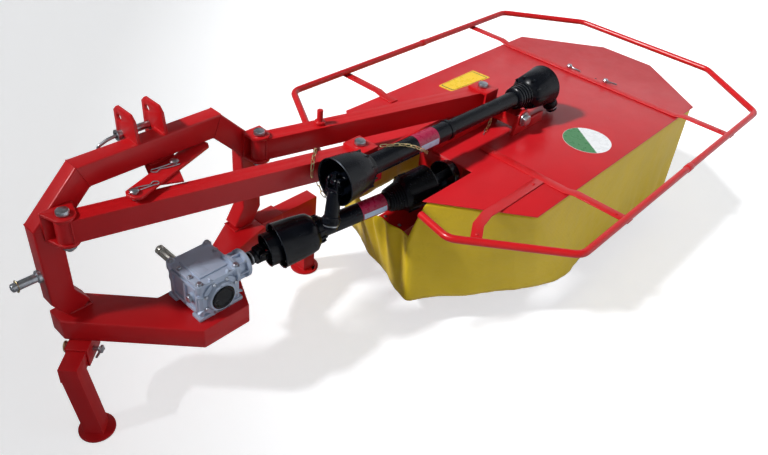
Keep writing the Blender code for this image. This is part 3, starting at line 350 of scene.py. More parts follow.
def finish(name):
    """A finish's material, made when it is first asked for."""
    found = bpy.data.materials.get(name)
    if found is None:
        maker, colours, _ = finishes()[name]
        found = maker(name, *colours)
    return found


# ---------------------------------------------------------------- shapes
def sizes():
    return bpy.context.scene.mower_sizes


def basis(x, y, z, at):
    """A matrix with its axes along x, y and z, and its origin at `at`."""
    return Matrix.Translation(at) @ Matrix((x, y, z)).transposed().to_4x4()


def aimed(start, way):
    """A matrix that puts the origin at start and turns z along way."""
    return Matrix.Translation(start) @ Vector(way).to_track_quat("Z", "Y").to_matrix().to_4x4()


def around(count, offset=0.0):
    """Even turns round a full circle."""
    return [math.tau * (step + offset) / count for step in range(count)]


def spoke(first, second, turn):
    """A direction turned from first towards second."""
    return first * math.cos(turn) + second * math.sin(turn)


def loop(middle, first, second, count):
    """Points round an ellipse, from its two half axes."""
    return [middle + spoke(first, second, turn) for turn in around(count)]


def only(kind, parts):
    """The vertices, or the edges, in what a bmesh operator has made."""
    return [part for part in parts if isinstance(part, kind)]


def join(piece, shape, place=None):
    """Adds a shape to a piece, after moving it to its place."""
    if place is not None:
        bmesh.ops.transform(shape, matrix=place, verts=shape.verts[:])
    mesh = bpy.data.meshes.new("shape")
    shape.to_mesh(mesh)
    shape.free()
    piece.from_mesh(mesh)
    bpy.data.meshes.remove(mesh)


def closed_up(shape, slot=0):
    """A shape with its open ends filled, its faces pointing out and its material slot set."""
    bmesh.ops.holes_fill(shape, edges=shape.edges[:])
    bmesh.ops.recalc_face_normals(shape, faces=shape.faces[:])
    for face in shape.faces:
        face.material_index = slot
    return shape


def soften(shape, width, segments, sharper=28):
    """Rounds every edge that turns by more than `sharper` degrees."""
    limit = math.radians(sharper)
    edges = [edge for edge in shape.edges if len(edge.link_faces) == 2 and edge.calc_face_angle(0) > limit]
    if edges and width > 0:
        bmesh.ops.bevel(shape, geom=edges, offset=width, offset_type="OFFSET", affect="EDGES",
                        segments=segments, profile=0.5, material=-1, clamp_overlap=True)


def copied(node, width, segments=2):
    """A merged copy of a CAD node, from the machine's datum, with its edges rounded."""
    shape = bmesh.new()
    shape.from_mesh(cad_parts[node].data)
    bmesh.ops.remove_doubles(shape, verts=shape.verts[:], dist=2e-5)
    bmesh.ops.dissolve_limit(shape, angle_limit=math.radians(0.5), verts=shape.verts[:], edges=shape.edges[:])
    bmesh.ops.translate(shape, verts=shape.verts[:], vec=-DATUM)
    soften(shape, width, segments)
    return shape


def block(piece, low, high, width, place=None, segments=2):
    """A block between two corners with rounded edges."""
    shape = bmesh.new()
    low, high = Vector(low), Vector(high)
    bmesh.ops.create_cube(shape, size=1.0)
    bmesh.ops.scale(shape, verts=shape.verts[:], vec=high - low)
    bmesh.ops.translate(shape, verts=shape.verts[:], vec=(high + low) / 2)
    soften(shape, width, segments)
    join(piece, shape, place)


def rod(piece, start, end, radius, end_radius=None, sides=24, width=0.0008):
    """A round or many-sided bar with eased ends."""
    shape = bmesh.new()
    start, end = Vector(start), Vector(end)
    length = (end - start).length
    bmesh.ops.create_cone(shape, cap_ends=True, segments=sides, radius1=radius,
                          radius2=radius if end_radius is None else end_radius, depth=length)
    bmesh.ops.translate(shape, verts=shape.verts[:], vec=(0, 0, length / 2))
    soften(shape, width, 2, 40 if sides > 8 else 28)
    join(piece, shape, aimed(start, end - start))


def lathe(piece, profile, start, way, sides=48, hollow=True):
    """Turns an outline of (distance along way, radius) about the line from start. A solid one ends on it."""
    shape = bmesh.new()
    points = [shape.verts.new((radius, 0, distance)) for distance, radius in profile]
    lines = [shape.edges.new(pair) for pair in zip(points, points[1:])]
    if hollow:
        lines.append(shape.edges.new((points[-1], points[0])))
    bmesh.ops.spin(shape, geom=points + lines, cent=(0, 0, 0), axis=(0, 0, 1), angle=math.tau,
                   steps=sides, use_merge=True)
    bmesh.ops.remove_doubles(shape, verts=shape.verts[:], dist=1e-6)
    bmesh.ops.recalc_face_normals(shape, faces=shape.faces[:])
    join(piece, shape, aimed(Vector(start), way))


def turned(piece, profile, start, way=UP, sides=24):
    """A solid lathed shape, such as a head or a boss."""
    lathe(piece, profile, start, way, sides, False)


def ribs(piece, start, way, first, second, count, low, high, width=0.001):
    """A ring of like blocks about the line from start: x of their corners along it, y outwards."""
    for turn in around(count):
        out = spoke(first, second, turn)
        block(piece, low, high, width, basis(way, out, way.cross(out), start))


def film(piece, points, thick, slot, corner=0.0, place=None):
    """A flat label with some thickness and, where asked for, rounded corners."""
    shape = bmesh.new()
    face = shape.faces.new([shape.verts.new(point) for point in points])
    raised = only(bmesh.types.BMVert, bmesh.ops.extrude_face_region(shape, geom=[face])["geom"])
    bmesh.ops.translate(shape, verts=raised, vec=(0, 0, thick))
    if corner:
        upright = [edge for edge in shape.edges if abs(edge.verts[0].co.z - edge.verts[1].co.z) > 1e-5]
        bmesh.ops.bevel(shape, geom=upright, offset=corner, affect="EDGES", segments=4, profile=0.5,
                        material=-1)
    join(piece, closed_up(shape, slot), place)


def wrap(piece, start, end, radius, turns, thick, slot):
    """A label wrapped on a shaft from start to end, between two turns in degrees from where it is read."""
    shape = bmesh.new()
    way, length = (end - start).normalized(), (end - start).length
    facing = (REAR_LEFT - way * REAR_LEFT.dot(way)).normalized()
    first, last = (math.radians(turn) for turn in turns)
    corners = [(radius, 0), (radius + thick, 0), (radius + thick, length), (radius, length)]
    section = shape.faces.new([shape.verts.new((r, 0, z)) for r, z in corners])
    bmesh.ops.rotate(shape, verts=shape.verts[:], cent=(0, 0, 0), matrix=Matrix.Rotation(first, 3, "Z"))
    bmesh.ops.spin(shape, geom=[section], cent=(0, 0, 0), axis=(0, 0, 1), angle=last - first, steps=16)
    join(piece, closed_up(shape, slot), basis(facing, way.cross(facing), way, start))


def arc_of(back, point, ahead, radius, steps):
    """A path's corner turned into an arc."""
    first, last = (back - point).normalized(), (ahead - point).normalized()
    half = first.angle(last) / 2
    reach = min(radius / math.tan(half), (back - point).length * 0.49, (ahead - point).length * 0.49)
    middle = point + (first + last).normalized() * (reach / math.cos(half))
    one, two = point + first * reach - middle, point + last * reach - middle
    arc = one.angle(two)
    turns = [arc * step / steps for step in range(steps + 1)]
    return [middle + (one * math.sin(arc - turn) + two * math.sin(turn)) / math.sin(arc) for turn in turns]


def rounded(points, radius, steps=6):
    """A path's points with its inner corners turned into arcs."""
    points = [Vector(point) for point in points]
    result = [points[0]]
    for back, point, ahead in zip(points, points[1:], points[2:]):
        straight = (point - back).angle(ahead - point) < 0.01
        result += [point] if straight else arc_of(back, point, ahead, radius, steps)
    return result + [points[-1]]


def sweep(piece, points, section, flat=UP, closed=False):
    """Runs a section along a path, mitred at each point. The section is a list of (across, along flat)."""
    points = [Vector(point) for point in points]
    count = len(points)
    ways = [(after - point).normalized() for point, after in zip(points, points[1:] + points[:1])]
    shape = bmesh.new()
    side = ways[0].cross(flat).normalized()
    over = side.cross(ways[0])
    normal = (ways[-1] + ways[0]).normalized() if closed else ways[0]
    ring = []
    for across, along in section:
        point = points[0] + side * across + over * along
        point -= ways[0] * ((point - points[0]).dot(normal) / ways[0].dot(normal))
        ring.append(shape.verts.new(point))
    lines = [shape.edges.new(pair) for pair in zip(ring, ring[1:] + ring[:1])]
    for index in range(1, count + (1 if closed else 0)):
        here, way = points[index % count], ways[index - 1]
        ahead = ways[index % count] if closed or index < count - 1 else way
        normal = (way + ahead).normalized()
        made = bmesh.ops.extrude_edge_only(shape, edges=lines)["geom"]
        lines = only(bmesh.types.BMEdge, made)
        for vert in only(bmesh.types.BMVert, made):
            vert.co += way * ((here - vert.co).dot(normal) / way.dot(normal))
    if closed:
        bmesh.ops.remove_doubles(shape, verts=shape.verts[:], dist=1e-5)
        bmesh.ops.recalc_face_normals(shape, faces=shape.faces[:])
    else:
        closed_up(shape)
    join(piece, shape)


def circle(radius, sides=12):
    """A round section."""
    return [(radius * math.cos(turn), radius * math.sin(turn)) for turn in around(sides)]


def rectangle(width, height, corner):
    """A rectangular section with rounded corners, each in three steps of 30 degrees."""
    result = []
    for quarter, (x, y) in enumerate(((1, 1), (-1, 1), (-1, -1), (1, -1))):
        for step in range(4):
            turn = math.radians(90 * quarter + 30 * step)
            result.append((x * (width / 2 - corner) + corner * math.cos(turn),
                           y * (height / 2 - corner) + corner * math.sin(turn)))
    return result


def weld(piece, points, radius, closed=False):
    """A weld bead along a seam."""
    sweep(piece, points, circle(radius, 8), Vector((0.3, 0.5, 0.8)).normalized(), closed)


def bolt(piece, seat, way, size):
    """A hex head or nut on its washer; `size` is the thread's diameter."""
    seat, way = Vector(seat), Vector(way).normalized()
    rod(piece, seat, seat + way * size * 0.2, size * 1.15, width=0.0005)
    seat = seat + way * size * 0.2
    top = seat + way * size * 0.66
    rod(piece, seat, top - way * size * 0.12, size * 0.94, sides=6, width=size * 0.03)
    rod(piece, top - way * size * 0.12, top, size * 0.9, size * 0.76, sides=12, width=0.0002)


def finish_piece(name, shape, finish_names, body, *nodes, neat=NEAT):
    """Makes an object of a shape, in the frame, with its finish and body, in place of CAD nodes."""
    names = [finish_names] if isinstance(finish_names, str) else finish_names
    bmesh.ops.translate(shape, verts=shape.verts[:], vec=DATUM)
    mesh = bpy.data.meshes.new(name)
    shape.to_mesh(mesh)
    shape.free()
    piece = bpy.data.objects.new(name, mesh)
    bpy.context.scene.collection.objects.link(piece)
    for finish_name in names:
        mesh.materials.append(finish(finish_name))
    mesh.shade_smooth()
    mesh.set_sharp_from_angle(angle=neat)
    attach(piece, body)
    finishes()[names[0]][2]
    if nodes:
        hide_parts(*nodes)
    return piece


def carry(node, name, width, body, segments=2):
    """A CAD node's shape with rounded edges, enamelled, in the node's place."""
    return finish_piece(name, copied(node, width, segments), "red_enamel", body, node)


class MowerOperator:
    """What the building operators share."""

    bl_options = {"REGISTER", "UNDO"}

    def execute(self, context):
        self.build()
        return {"FINISHED"}


# ---------------------------------------------------------------- headstock
class MOWER_OT_headstock(MowerOperator, bpy.types.Operator):
    """Builds the hoop, its lower frame, the top link's ears and the lower link pins"""

    bl_idname = "mower.headstock"
    bl_label = "Headstock"

    def build(self):
        left, right, top = HOOP_LOW.x, HOOP_HIGH.x, HOOP_TOP
        deep, wide = HOOP_TUBE
        section = rectangle(deep, wide, sizes().tube_edge)
        mitre = deep / 2 * math.tan(HOOP_MITRE)
        half = [(left + HOOP_FEET, FRAME_TOP), (left + deep / 2, FRAME_TOP + 0.075),
                (left + deep / 2, top - HOOP_SLOPE - mitre), (left + HOOP_SLOPE + mitre, top - deep / 2)]
        path = [Vector((x, (HOOP_LOW.y + HOOP_HIGH.y) / 2, z))
                for x, z in half + [(left + right - x, z) for x, z in reversed(half)]]
        hoop = bmesh.new()
        sweep(hoop, path, section, FORWARD)
        finish_piece("headstock_hoop", hoop, "red_enamel", "root",
                     "left_leg", "left_corner", "top_beam", "right_corner", "right_leg")
        carry("lower_frame", "headstock_lower_frame", 0.005, "root", segments=3)

        seams = bmesh.new()
        for back, point, ahead in list(zip(path, path[1:], path[2:]))[1:-1]:
            before, after = (point - back).normalized(), (ahead - point).normalized()
            across = (before + after).cross(FORWARD).normalized() / math.cos(HOOP_MITRE)
            weld(seams, [point + across * a + FORWARD * b for a, b in section], 0.0018, True)
        for foot in (path[0], path[-1]):
            weld(seams, [foot + Vector((x * 0.034, y * wide / 2, 0.001))
                         for x, y in ((1, 1), (-1, 1), (-1, -1), (1, -1))], sizes().weld, True)
        for node in ("left_ear", "right_ear"):
            for corner in box(node):
                weld(seams, [(corner.x, HOOP_LOW.y + 0.008, top), (corner.x, HOOP_HIGH.y, top),
                             (corner.x, HOOP_HIGH.y, top - 0.048)], 0.003)
        finish_piece("headstock_welds", seams, "weld_metal", "root")

        carry("left_ear", "top_link_left_ear", 0.0018, "root")
        carry("right_ear", "top_link_right_ear", 0.0018, "root")
        self.top_link_pin()
        self.hitch_pin("left_hitch_pin", -RIGHT)
        self.hitch_pin("right_hitch_pin", RIGHT)

    def top_link_pin(self):
        """The top link's pin with its bent handle and linch clip."""
        low = box("top_link_pin")[0]
        y, z = HOOP_HIGH.y + 0.034, HOOP_TOP - 0.004
        start = Vector((box("left_ear")[0].x - 0.018, y, z))
        end = Vector((box("right_ear")[1].x + 0.024, y, z))
        pin = bmesh.new()
        rod(pin, start, end, 0.0122, width=0.003)
        rod(pin, start, start + RIGHT * 0.006, 0.018, width=0.001)
        handle = [start + RIGHT * 0.004, start + Vector((-0.03, 0, -0.004)),
                  (low.x + 0.004, y + 0.004, z - 0.018), (low.x + 0.001, y + 0.004, z - 0.034)]
        sweep(pin, rounded(handle, 0.01), circle(0.0055))
        sweep(pin, loop(end - RIGHT * 0.008, FORWARD * 0.016, UP * 0.016, 16), circle(0.0016, 6), RIGHT, True)
        finish_piece("top_link_pin_with_handle", pin, "clear_zinc", "root", "top_link_pin")

    def hitch_pin(self, node, way):
        """A lower link pin: shoulder, plain shank, rounded end, and its linch clip through the end."""
        low, high = box(node)
        length, middle = high.x - low.x, middle_of(node)
        start, end = middle - way * length / 2, middle + way * length / 2
        pin, clip = bmesh.new(), bmesh.new()
        turned(pin, [(0, 0), (0, 0.021), (0.01, 0.021), (0.012, 0.019), (0.012, 0.014), (length - 0.006, 0.014),
                     (length - 0.002, 0.012), (length, 0.008), (length, 0)], start, way, 32)
        finish_piece(node + "_shank", pin, "clear_zinc", "root", node)
        hole = end - way * 0.018
        rod(clip, hole - UP * 0.024, hole + UP * 0.018, 0.0032, sides=12)
        sweep(clip, loop(hole + UP * 0.001, UP * 0.019, FORWARD * 0.017, 18), circle(0.0014, 6), RIGHT, True)
        finish_piece(node + "_clip", clip, "yellow_zinc", "root")


class MOWER_OT_arms(MowerOperator, bpy.types.Operator):
    """Builds the hinge brackets, the two arms, their bolts and the lock link"""

    bl_idname = "mower.arms"
    bl_label = "Arms"

    def build(self):
        way = ARM.normalized()
        side = UP.cross(way) * (HOOP_TUBE[1] / 2)
        seam_reach = math.sqrt(0.03 ** 2 - 0.029 ** 2) + 0.004      # from a bolt to the tube's square end
        for which, hinge in HINGES.items():
            end = hinge + ARM
            carry(f"{which}_hinge", f"{which}_hinge_bracket", sizes().edge, "root")
            carry(f"{which}_arm", f"{which}_arm_tube", 0.004, f"{which}_arm", segments=3)
            self.hinge_bolt(f"{which}_hinge_bolt", hinge, "root", True)
            self.hinge_bolt(f"{which}_end_bolt", end, "mower", False)
            seams = bmesh.new()
            for foot in (hinge + way * seam_reach, end - way * seam_reach):
                for flank in (foot + side, foot - side):
                    weld(seams, [flank + UP * ARM_TOP, flank + UP * ARM_BOTTOM], 0.003)
            finish_piece(f"{which}_arm_welds", seams, "weld_metal", f"{which}_arm")
        carry("far_arm_pin", "far_arm_post", 0.002, "far_arm")
        self.lock_link()

    def hinge_bolt(self, node, at, body, nutted):
        """A hinge bolt with its round head over the fork, and its nut under it."""
        low, high = box(node)
        pin = bmesh.new()
        head = Vector((at.x, at.y, high.z - 0.0145))
        rod(pin, (at.x, at.y, low.z), head, 0.0117, width=0.0012)
        turned(pin, [(0, 0), (0, 0.019), (0.001, 0.0198), (0.0105, 0.0198), (0.0135, 0.018), (0.0145, 0.015),
                     (0.015, 0)], head, sides=28)
        if nutted:
            bolt(pin, (at.x, at.y, low.z + 0.029), -UP, 0.024)
        finish_piece(node + "_with_head", pin, "clear_zinc", body, node)

    def lock_link(self):
        """The flat lock link, its two pins with their clips, and the plate that it hangs on."""
        carry("link_hanger", "lock_link_hanger", sizes().edge, "root")
        carry("lock_link", "lock_link_bar", 0.0018, "root")
        level = box("lock_link")[1].z
        pins, clips = bmesh.new(), bmesh.new()
        for at, along in (((-1.722, 0.284), 1), ((-1.543, 0.347), -1)):
            at = Vector((*at, level))
            rod(pins, at + UP * 0.012, at - UP * 0.022, 0.01, width=0.002)
            turned(pins, [(0.006, 0), (0.006, 0.014), (0.01, 0.014), (0.013, 0.01), (0.0145, 0)], at)
            hole = at + UP * 0.0035
            wire = [hole + Vector((x, y, 0)) * along for x, y in (
                (-0.016, 0.003), (0.06, -0.003), (0.078, -0.008), (0.084, 0.004), (0.072, 0.014),
                (0.054, 0.004), (0.036, 0.012), (0.014, 0.017), (-0.008, 0.019))]
            sweep(clips, rounded(wire, 0.006, 4), circle(0.0019, 8))
        finish_piece("lock_link_pins", pins, "clear_zinc", "root")
        finish_piece("lock_link_clips", clips, "clear_zinc", "root")


# ---------------------------------------------------------------- gearbox
class MOWER_OT_gearbox(MowerOperator, bpy.types.Operator):
    """Builds the gearbox casting, its bolts and caps, and the splined input"""

    bl_idname = "mower.gearbox"
    bl_label = "Gearbox"

    LOW, SIZE = Vector((-1.668, 0.078, FRAME_TOP)), Vector((0.168, 0.18, 0.15))
    HIGH, MIDDLE = LOW + SIZE, LOW + SIZE / 2
    # corners from its lowest corner, and the rounding of the edges, in millimetres
    CASE = (10, 10, 12, 158, 174, 140, 10)
    FEET = ((-2, 2, 0.5, 170, 46, 16, 4), (-2, 134, 0.5, 170, 178, 16, 4))
    TOP = ((4, 4, 134, 164, 176, 147, 4), (30, 34, 145, 138, 146, 153, 3), (38, 44, 152, 74, 108, 154.2, 0.8))
    LEFT_FRAME = ((3, 18, 20, 14, 162, 32, 2), (3, 18, 114, 14, 162, 126, 2), (3, 18, 22, 14, 30, 124, 2),
                  (3, 148, 22, 14, 160, 124, 2), (3, 80, 22, 14, 92, 124, 2))

    def build(self):
        casting, bolts, dark = bmesh.new(), bmesh.new(), bmesh.new()
        for corners in (self.CASE, *self.FEET, *self.TOP, *self.LEFT_FRAME):
            low, high, width = Vector(corners[:3]) / 1000, Vector(corners[3:6]) / 1000, corners[6] / 1000
            block(casting, self.LOW + low, self.LOW + high, width, segments=3 if corners is self.CASE else 2)
        self.pillars(casting, bolts)
        self.rear_face(casting, bolts, dark)
        self.left_boss(casting, bolts)
        self.neck(casting, bolts)
        self.front(casting, bolts, dark)
        finish_piece("gearbox_casting", casting, "sand_casting", "root", "gearbox")
        finish_piece("gearbox_bolts", bolts, "silver_paint", "root")
        finish_piece("gearbox_caps", dark, "moulded_plastic", "root")
        self.input_shaft()

    def pillars(self, casting, bolts):
        """The case's corner pillars, and the bolts of its top plate."""
        low, high = self.LOW, self.HIGH
        for x in (low.x + 0.014, high.x - 0.014):
            for y in (low.y + 0.014, high.y - 0.014):
                rod(casting, (x, y, high.z - 0.03), (x, y, high.z - 0.001), 0.015, width=0.002)
                rod(casting, (x, y, low.z + 0.014), (x, y, high.z - 0.028), 0.0085, sides=16, width=0.001)
                bolt(bolts, (x, y, high.z - 0.001), UP, 0.01)
            for y in (self.MIDDLE.y - 0.028, self.MIDDLE.y + 0.03):
                bolt(bolts, (x, y, high.z - 0.003), UP, 0.008)

    def rear_face(self, casting, bolts, dark):
        """The bearing housing with its ribs, its ring of bolts and the round cap."""
        back = -FORWARD
        at = Vector((self.MIDDLE.x, self.LOW.y + 0.01, self.MIDDLE.z - 0.004))
        turned(casting, [(0, 0), (0, 0.072), (0.006, 0.071), (0.008, 0.066), (0.008, 0.056), (0.018, 0.052),
                         (0.021, 0.049), (0.021, 0)], at, back, 48)
        for turn in around(8, 0.5):
            way = spoke(RIGHT, UP, turn)
            bolt(bolts, at + way * 0.0615 + back * 0.007, back, 0.007)
            block(casting, (-0.003, -0.006, 0.045), (0.003, 0.006, 0.094), 0.002,
                  basis(way.cross(back), back, way, at + back * 0.001))
        turned(dark, [(0, 0), (0, 0.043), (0.004, 0.043), (0.007, 0.04), (0.007, 0.034), (0.004, 0.031),
                      (0.003, 0)], at + back * 0.0195, back, 40)

    def left_boss(self, casting, bolts):
        """A boss with its plug on the left side's sunk panel."""
        boss = Vector((self.LOW.x + 0.01, self.MIDDLE.y - 0.04, self.MIDDLE.z))
        rod(casting, boss + RIGHT * 0.004, boss - RIGHT * 0.008, 0.017, sides=28, width=0.002)
        bolt(bolts, boss - RIGHT * 0.007, -RIGHT, 0.014)

    def neck(self, casting, bolts):
        """The ribbed neck to the driveshaft and its round flange."""
        start = Vector((self.HIGH.x - 0.02, SHAFT_FRONT.y, SHAFT_FRONT.z))
        turned(casting, [(0, 0), (0, 0.052), (0.012, 0.05), (0.016, 0.042), (0.046, 0.036), (0.048, 0.049),
                         (0.05, 0.05), (0.06, 0.05), (0.062, 0.048), (0.062, 0.03), (0.058, 0.026), (0.058, 0)],
               start, RIGHT, 48)
        ribs(casting, start, RIGHT, FORWARD, UP, 8, (0.014, 0.034, -0.0025), (0.048, 0.048, 0.0025))
        for at in loop(start + RIGHT * 0.048, FORWARD * 0.0435, UP * 0.0435, 8)[1::2]:
            bolt(bolts, at, -RIGHT, 0.006)

    def front(self, casting, bolts, dark):
        """The input's bearing housing."""
        start = Vector((self.MIDDLE.x - 0.02, self.HIGH.y - 0.014, self.MIDDLE.z))
        turned(casting, [(0, 0), (0, 0.056), (0.014, 0.055), (0.017, 0.044), (0.04, 0.04), (0.044, 0.038),
                         (0.044, 0)], start, FORWARD, 40)
        turned(dark, [(0, 0), (0, 0.03), (0.002, 0.029), (0.002, 0)], start + FORWARD * 0.0435, FORWARD, 32)
        for turn in around(6, 0.5):
            out = spoke(RIGHT, UP, turn)
            bolt(bolts, start + FORWARD * 0.014 + out * 0.049, FORWARD, 0.006)

    def input_shaft(self):
        """The input: a 35 mm shaft with six splines, a groove for the yoke's lock and a chamfered end."""
        low, high = box("gearbox_input")
        length = high.y - low.y
        start = (low + high - FORWARD * length) / 2
        shaft = bmesh.new()
        rod(shaft, start, start + FORWARD * 0.018, 0.0195, width=0.001)
        rod(shaft, start, start + FORWARD * length, 0.0145, sides=32, width=0.0015)
        for first, last in ((0.012, length - 0.03), (length - 0.022, length - 0.003)):
            ribs(shaft, start, FORWARD, RIGHT, UP, 6, (first, 0.01, -0.0043), (last, 0.0175, 0.0043), 0.0009)
        finish_piece("gearbox_input_spline", shaft, "turned_steel", "root", "gearbox_input")


# ---------------------------------------------------------------- driveshafts
FORK = 0.029                    # half the width of a universal joint's fork


def right_end(node):
    """The middle of a node's right face."""
    middle = middle_of(node)
    middle.x = box(node)[1].x
    return middle


def joint_fork(piece, centre, way, side, reach, hub):
    """Half of a universal joint: a hub towards its shaft, along way, and two ears that hold the cross."""
    up = side.cross(way).normalized()
    side = way.cross(up).normalized()
    turn = basis(way, side, up, centre)
    rod(piece, centre + way * reach, centre + way * (reach - 0.022), hub, width=0.003)
    block(piece, (reach - 0.03, -FORK, -0.017), (reach - 0.016, FORK, 0.017), 0.005, turn, 3)
    for ear in (-1, 1):
        low, high = sorted((ear * FORK, ear * (FORK - 0.01)))
        block(piece, (0.0, low, -0.016), (reach - 0.02, high, 0.016), 0.003, turn, 3)
        rod(piece, centre + side * low, centre + side * high, 0.0165, width=0.002)


def joint_cross(piece, centre, side, up):
    """The cross of a universal joint with its four bearing caps."""
    for way in (side, up):
        rod(piece, centre - way * 0.031, centre + way * 0.031, 0.0105, width=0.001)
        for cap in (-way, way):
            rod(piece, centre + cap * 0.028, centre + cap * 0.032, 0.0125, width=0.001)
    rod(piece, centre - side * 0.013, centre + side * 0.013, 0.015, width=0.004)


class Axis:
    """A shaft's line, with two directions square to it: level, and upwards."""

    def __init__(self, start, end):
        self.start, self.end = start, end
        self.way, self.length = (end - start).normalized(), (end - start).length
        self.level = UP.cross(self.way).normalized()
        self.up = self.way.cross(self.level).normalized()

    def at(self, distance):
        return self.start + self.way * distance

    def bell(self, piece, profile):
        lathe(piece, profile, self.start, self.way)

    def flutes(self, piece, count, low, high, width=0.001):
        ribs(piece, self.start, self.way, self.level, self.up, count, low, high, width)

    def label(self, name, first, last, inset, radius, body):
        """The shaft's label with its blank band."""
        label = bmesh.new()
        wrap(label, self.at(first), self.at(last), radius, (-75, 75), 0.0006, 0)
        wrap(label, self.at(first + inset), self.at(last - inset), radius + 0.0007, (26, 62), 0.0004, 1)
        finish_piece(name, label, ["label_film", "band_film"], body)


class MOWER_OT_driveshaft(MowerOperator, bpy.types.Operator):
    """Builds the telescopic driveshaft from the gearbox to the mower with its guards"""

    bl_idname = "mower.driveshaft"
    bl_label = "Driveshaft"

    def build(self):
        axis = Axis(SHAFT_FRONT, SHAFT_REAR)
        self.output_fork(axis.start)
        self.front_guard(axis)
        axis.label("driveshaft_label", 0.385, 0.487, 0.004, 0.035, "driveshaft_outer")
        self.rear_guard(axis)
        self.mower_end(axis.end)

    def output_fork(self, start):
        """The gearbox's output shaft with its fork and collars."""
        joint, collar = bmesh.new(), bmesh.new()
        joint_fork(joint, start, -RIGHT, UP, 0.044, 0.023)
        rod(joint, start - RIGHT * 0.073, start - RIGHT * 0.04, 0.018, width=0.001)
        for ring in (0.05, 0.058):
            rod(joint, start - RIGHT * (ring + 0.005), start - RIGHT * ring, 0.0215, width=0.001)
        finish_piece("gearbox_output_fork", joint, "moulded_plastic", "root", "gearbox_output")
        rod(collar, start - RIGHT * 0.0485, start - RIGHT * 0.0445, 0.0245, width=0.001)
        finish_piece("gearbox_output_ring", collar, "clear_zinc", "root")

    def front_guard(self, axis):
        """The small bell round the joint, and the large one that turns with the tube's guard."""
        shaft = bmesh.new()
        joint_fork(shaft, axis.start, axis.way, axis.level, 0.052, 0.022)
        joint_cross(shaft, axis.start, axis.level, UP)
        axis.bell(shaft, [(0.02, 0.054), (0.018, 0.0575), (0.02, 0.0595), (0.023, 0.0585), (0.1, 0.061),
                          (0.128, 0.06), (0.128, 0.056), (0.024, 0.0545)])
        axis.bell(shaft, [(0.061, 0.078), (0.059, 0.0805), (0.061, 0.0825), (0.064, 0.0812), (0.128, 0.0772),
                          (0.176, 0.0722), (0.19, 0.069), (0.204, 0.056), (0.208, 0.05), (0.212, 0.049),
                          (0.226, 0.047), (0.229, 0.043), (0.238, 0.041), (0.241, 0.0352), (0.498, 0.0348),
                          (0.498, 0.029), (0.236, 0.029), (0.222, 0.04), (0.2, 0.048), (0.184, 0.065),
                          (0.172, 0.069), (0.128, 0.0735), (0.064, 0.077)])
        axis.flutes(shaft, 14, (0.207, 0.044, -0.0025), (0.228, 0.0525, 0.0025))
        finish_piece("driveshaft_front_guard", shaft, "moulded_plastic", "driveshaft_outer", "driveshaft_outer")
        rims = bmesh.new()
        for distance, radius in ((0.0188, 0.059), (0.06, 0.0818)):
            axis.bell(rims, [(distance + along, radius + out) for along, out in (
                (-0.0012, -0.0022), (-0.0014, 0), (0, 0.0012), (0.001, 0.001), (0.0006, -0.0022))])
        for turn in around(6, 0.3):
            screw = spoke(axis.level, axis.up, turn) * 0.068
            rod(rims, axis.at(0.0595) + screw, axis.at(0.064) + screw, 0.0045, sides=12)
        finish_piece("driveshaft_guard_rims", rims, "forged_steel", "driveshaft_outer")

    def rear_guard(self, axis):
        """The inner tube, the bellows between it and the rear bell, and the bell."""
        inner, length = bmesh.new(), axis.length
        rod(inner, axis.at(0.24), axis.at(0.56), 0.0262, width=0.001)
        bellows = [(along + step * 0.0095, radius + step * 0.0022)
                   for step in range(6) for along, radius in ((0.502, 0.0385), (0.507, 0.044))]
        axis.bell(inner, [(0.5, 0.03)] + bellows + [
            (0.56, 0.052), (0.572, 0.0675), (0.58, 0.07), (length - 0.01, 0.0745), (length - 0.004, 0.0762),
            (length, 0.0745), (length - 0.004, 0.0715), (0.584, 0.0655), (0.574, 0.06), (0.56, 0.03)])
        axis.flutes(inner, 12, (0.576, 0.066, -0.003), (0.606, 0.0745, 0.003), 0.0012)
        joint_fork(inner, axis.end, -axis.way, axis.level, 0.06, 0.021)
        finish_piece("driveshaft_rear_guard", inner, "moulded_plastic", "driveshaft_inner", "driveshaft_inner")

    def mower_end(self, end):
        """The mower's input stub with its fork, and the round guard over it."""
        stub, guard = bmesh.new(), bmesh.new()
        right = right_end("mower_input")
        rod(stub, right, (end.x + 0.044, right.y, right.z), 0.018, width=0.001)
        joint_fork(stub, end, RIGHT, UP, 0.048, 0.022)
        finish_piece("mower_input_fork", stub, "forged_steel", "mower", "mower_input")
        lathe(guard, [(0, 0.0187), (0, 0.05), (0.004, 0.052), (0.03, 0.057), (0.044, 0.062), (0.0465, 0.06),
                      (0.044, 0.057), (0.03, 0.053), (0.008, 0.046), (0.008, 0.0187)],
              right_end("input_guard"), -RIGHT)
        finish_piece("mower_input_guard", guard, "moulded_plastic", "mower", "input_guard")


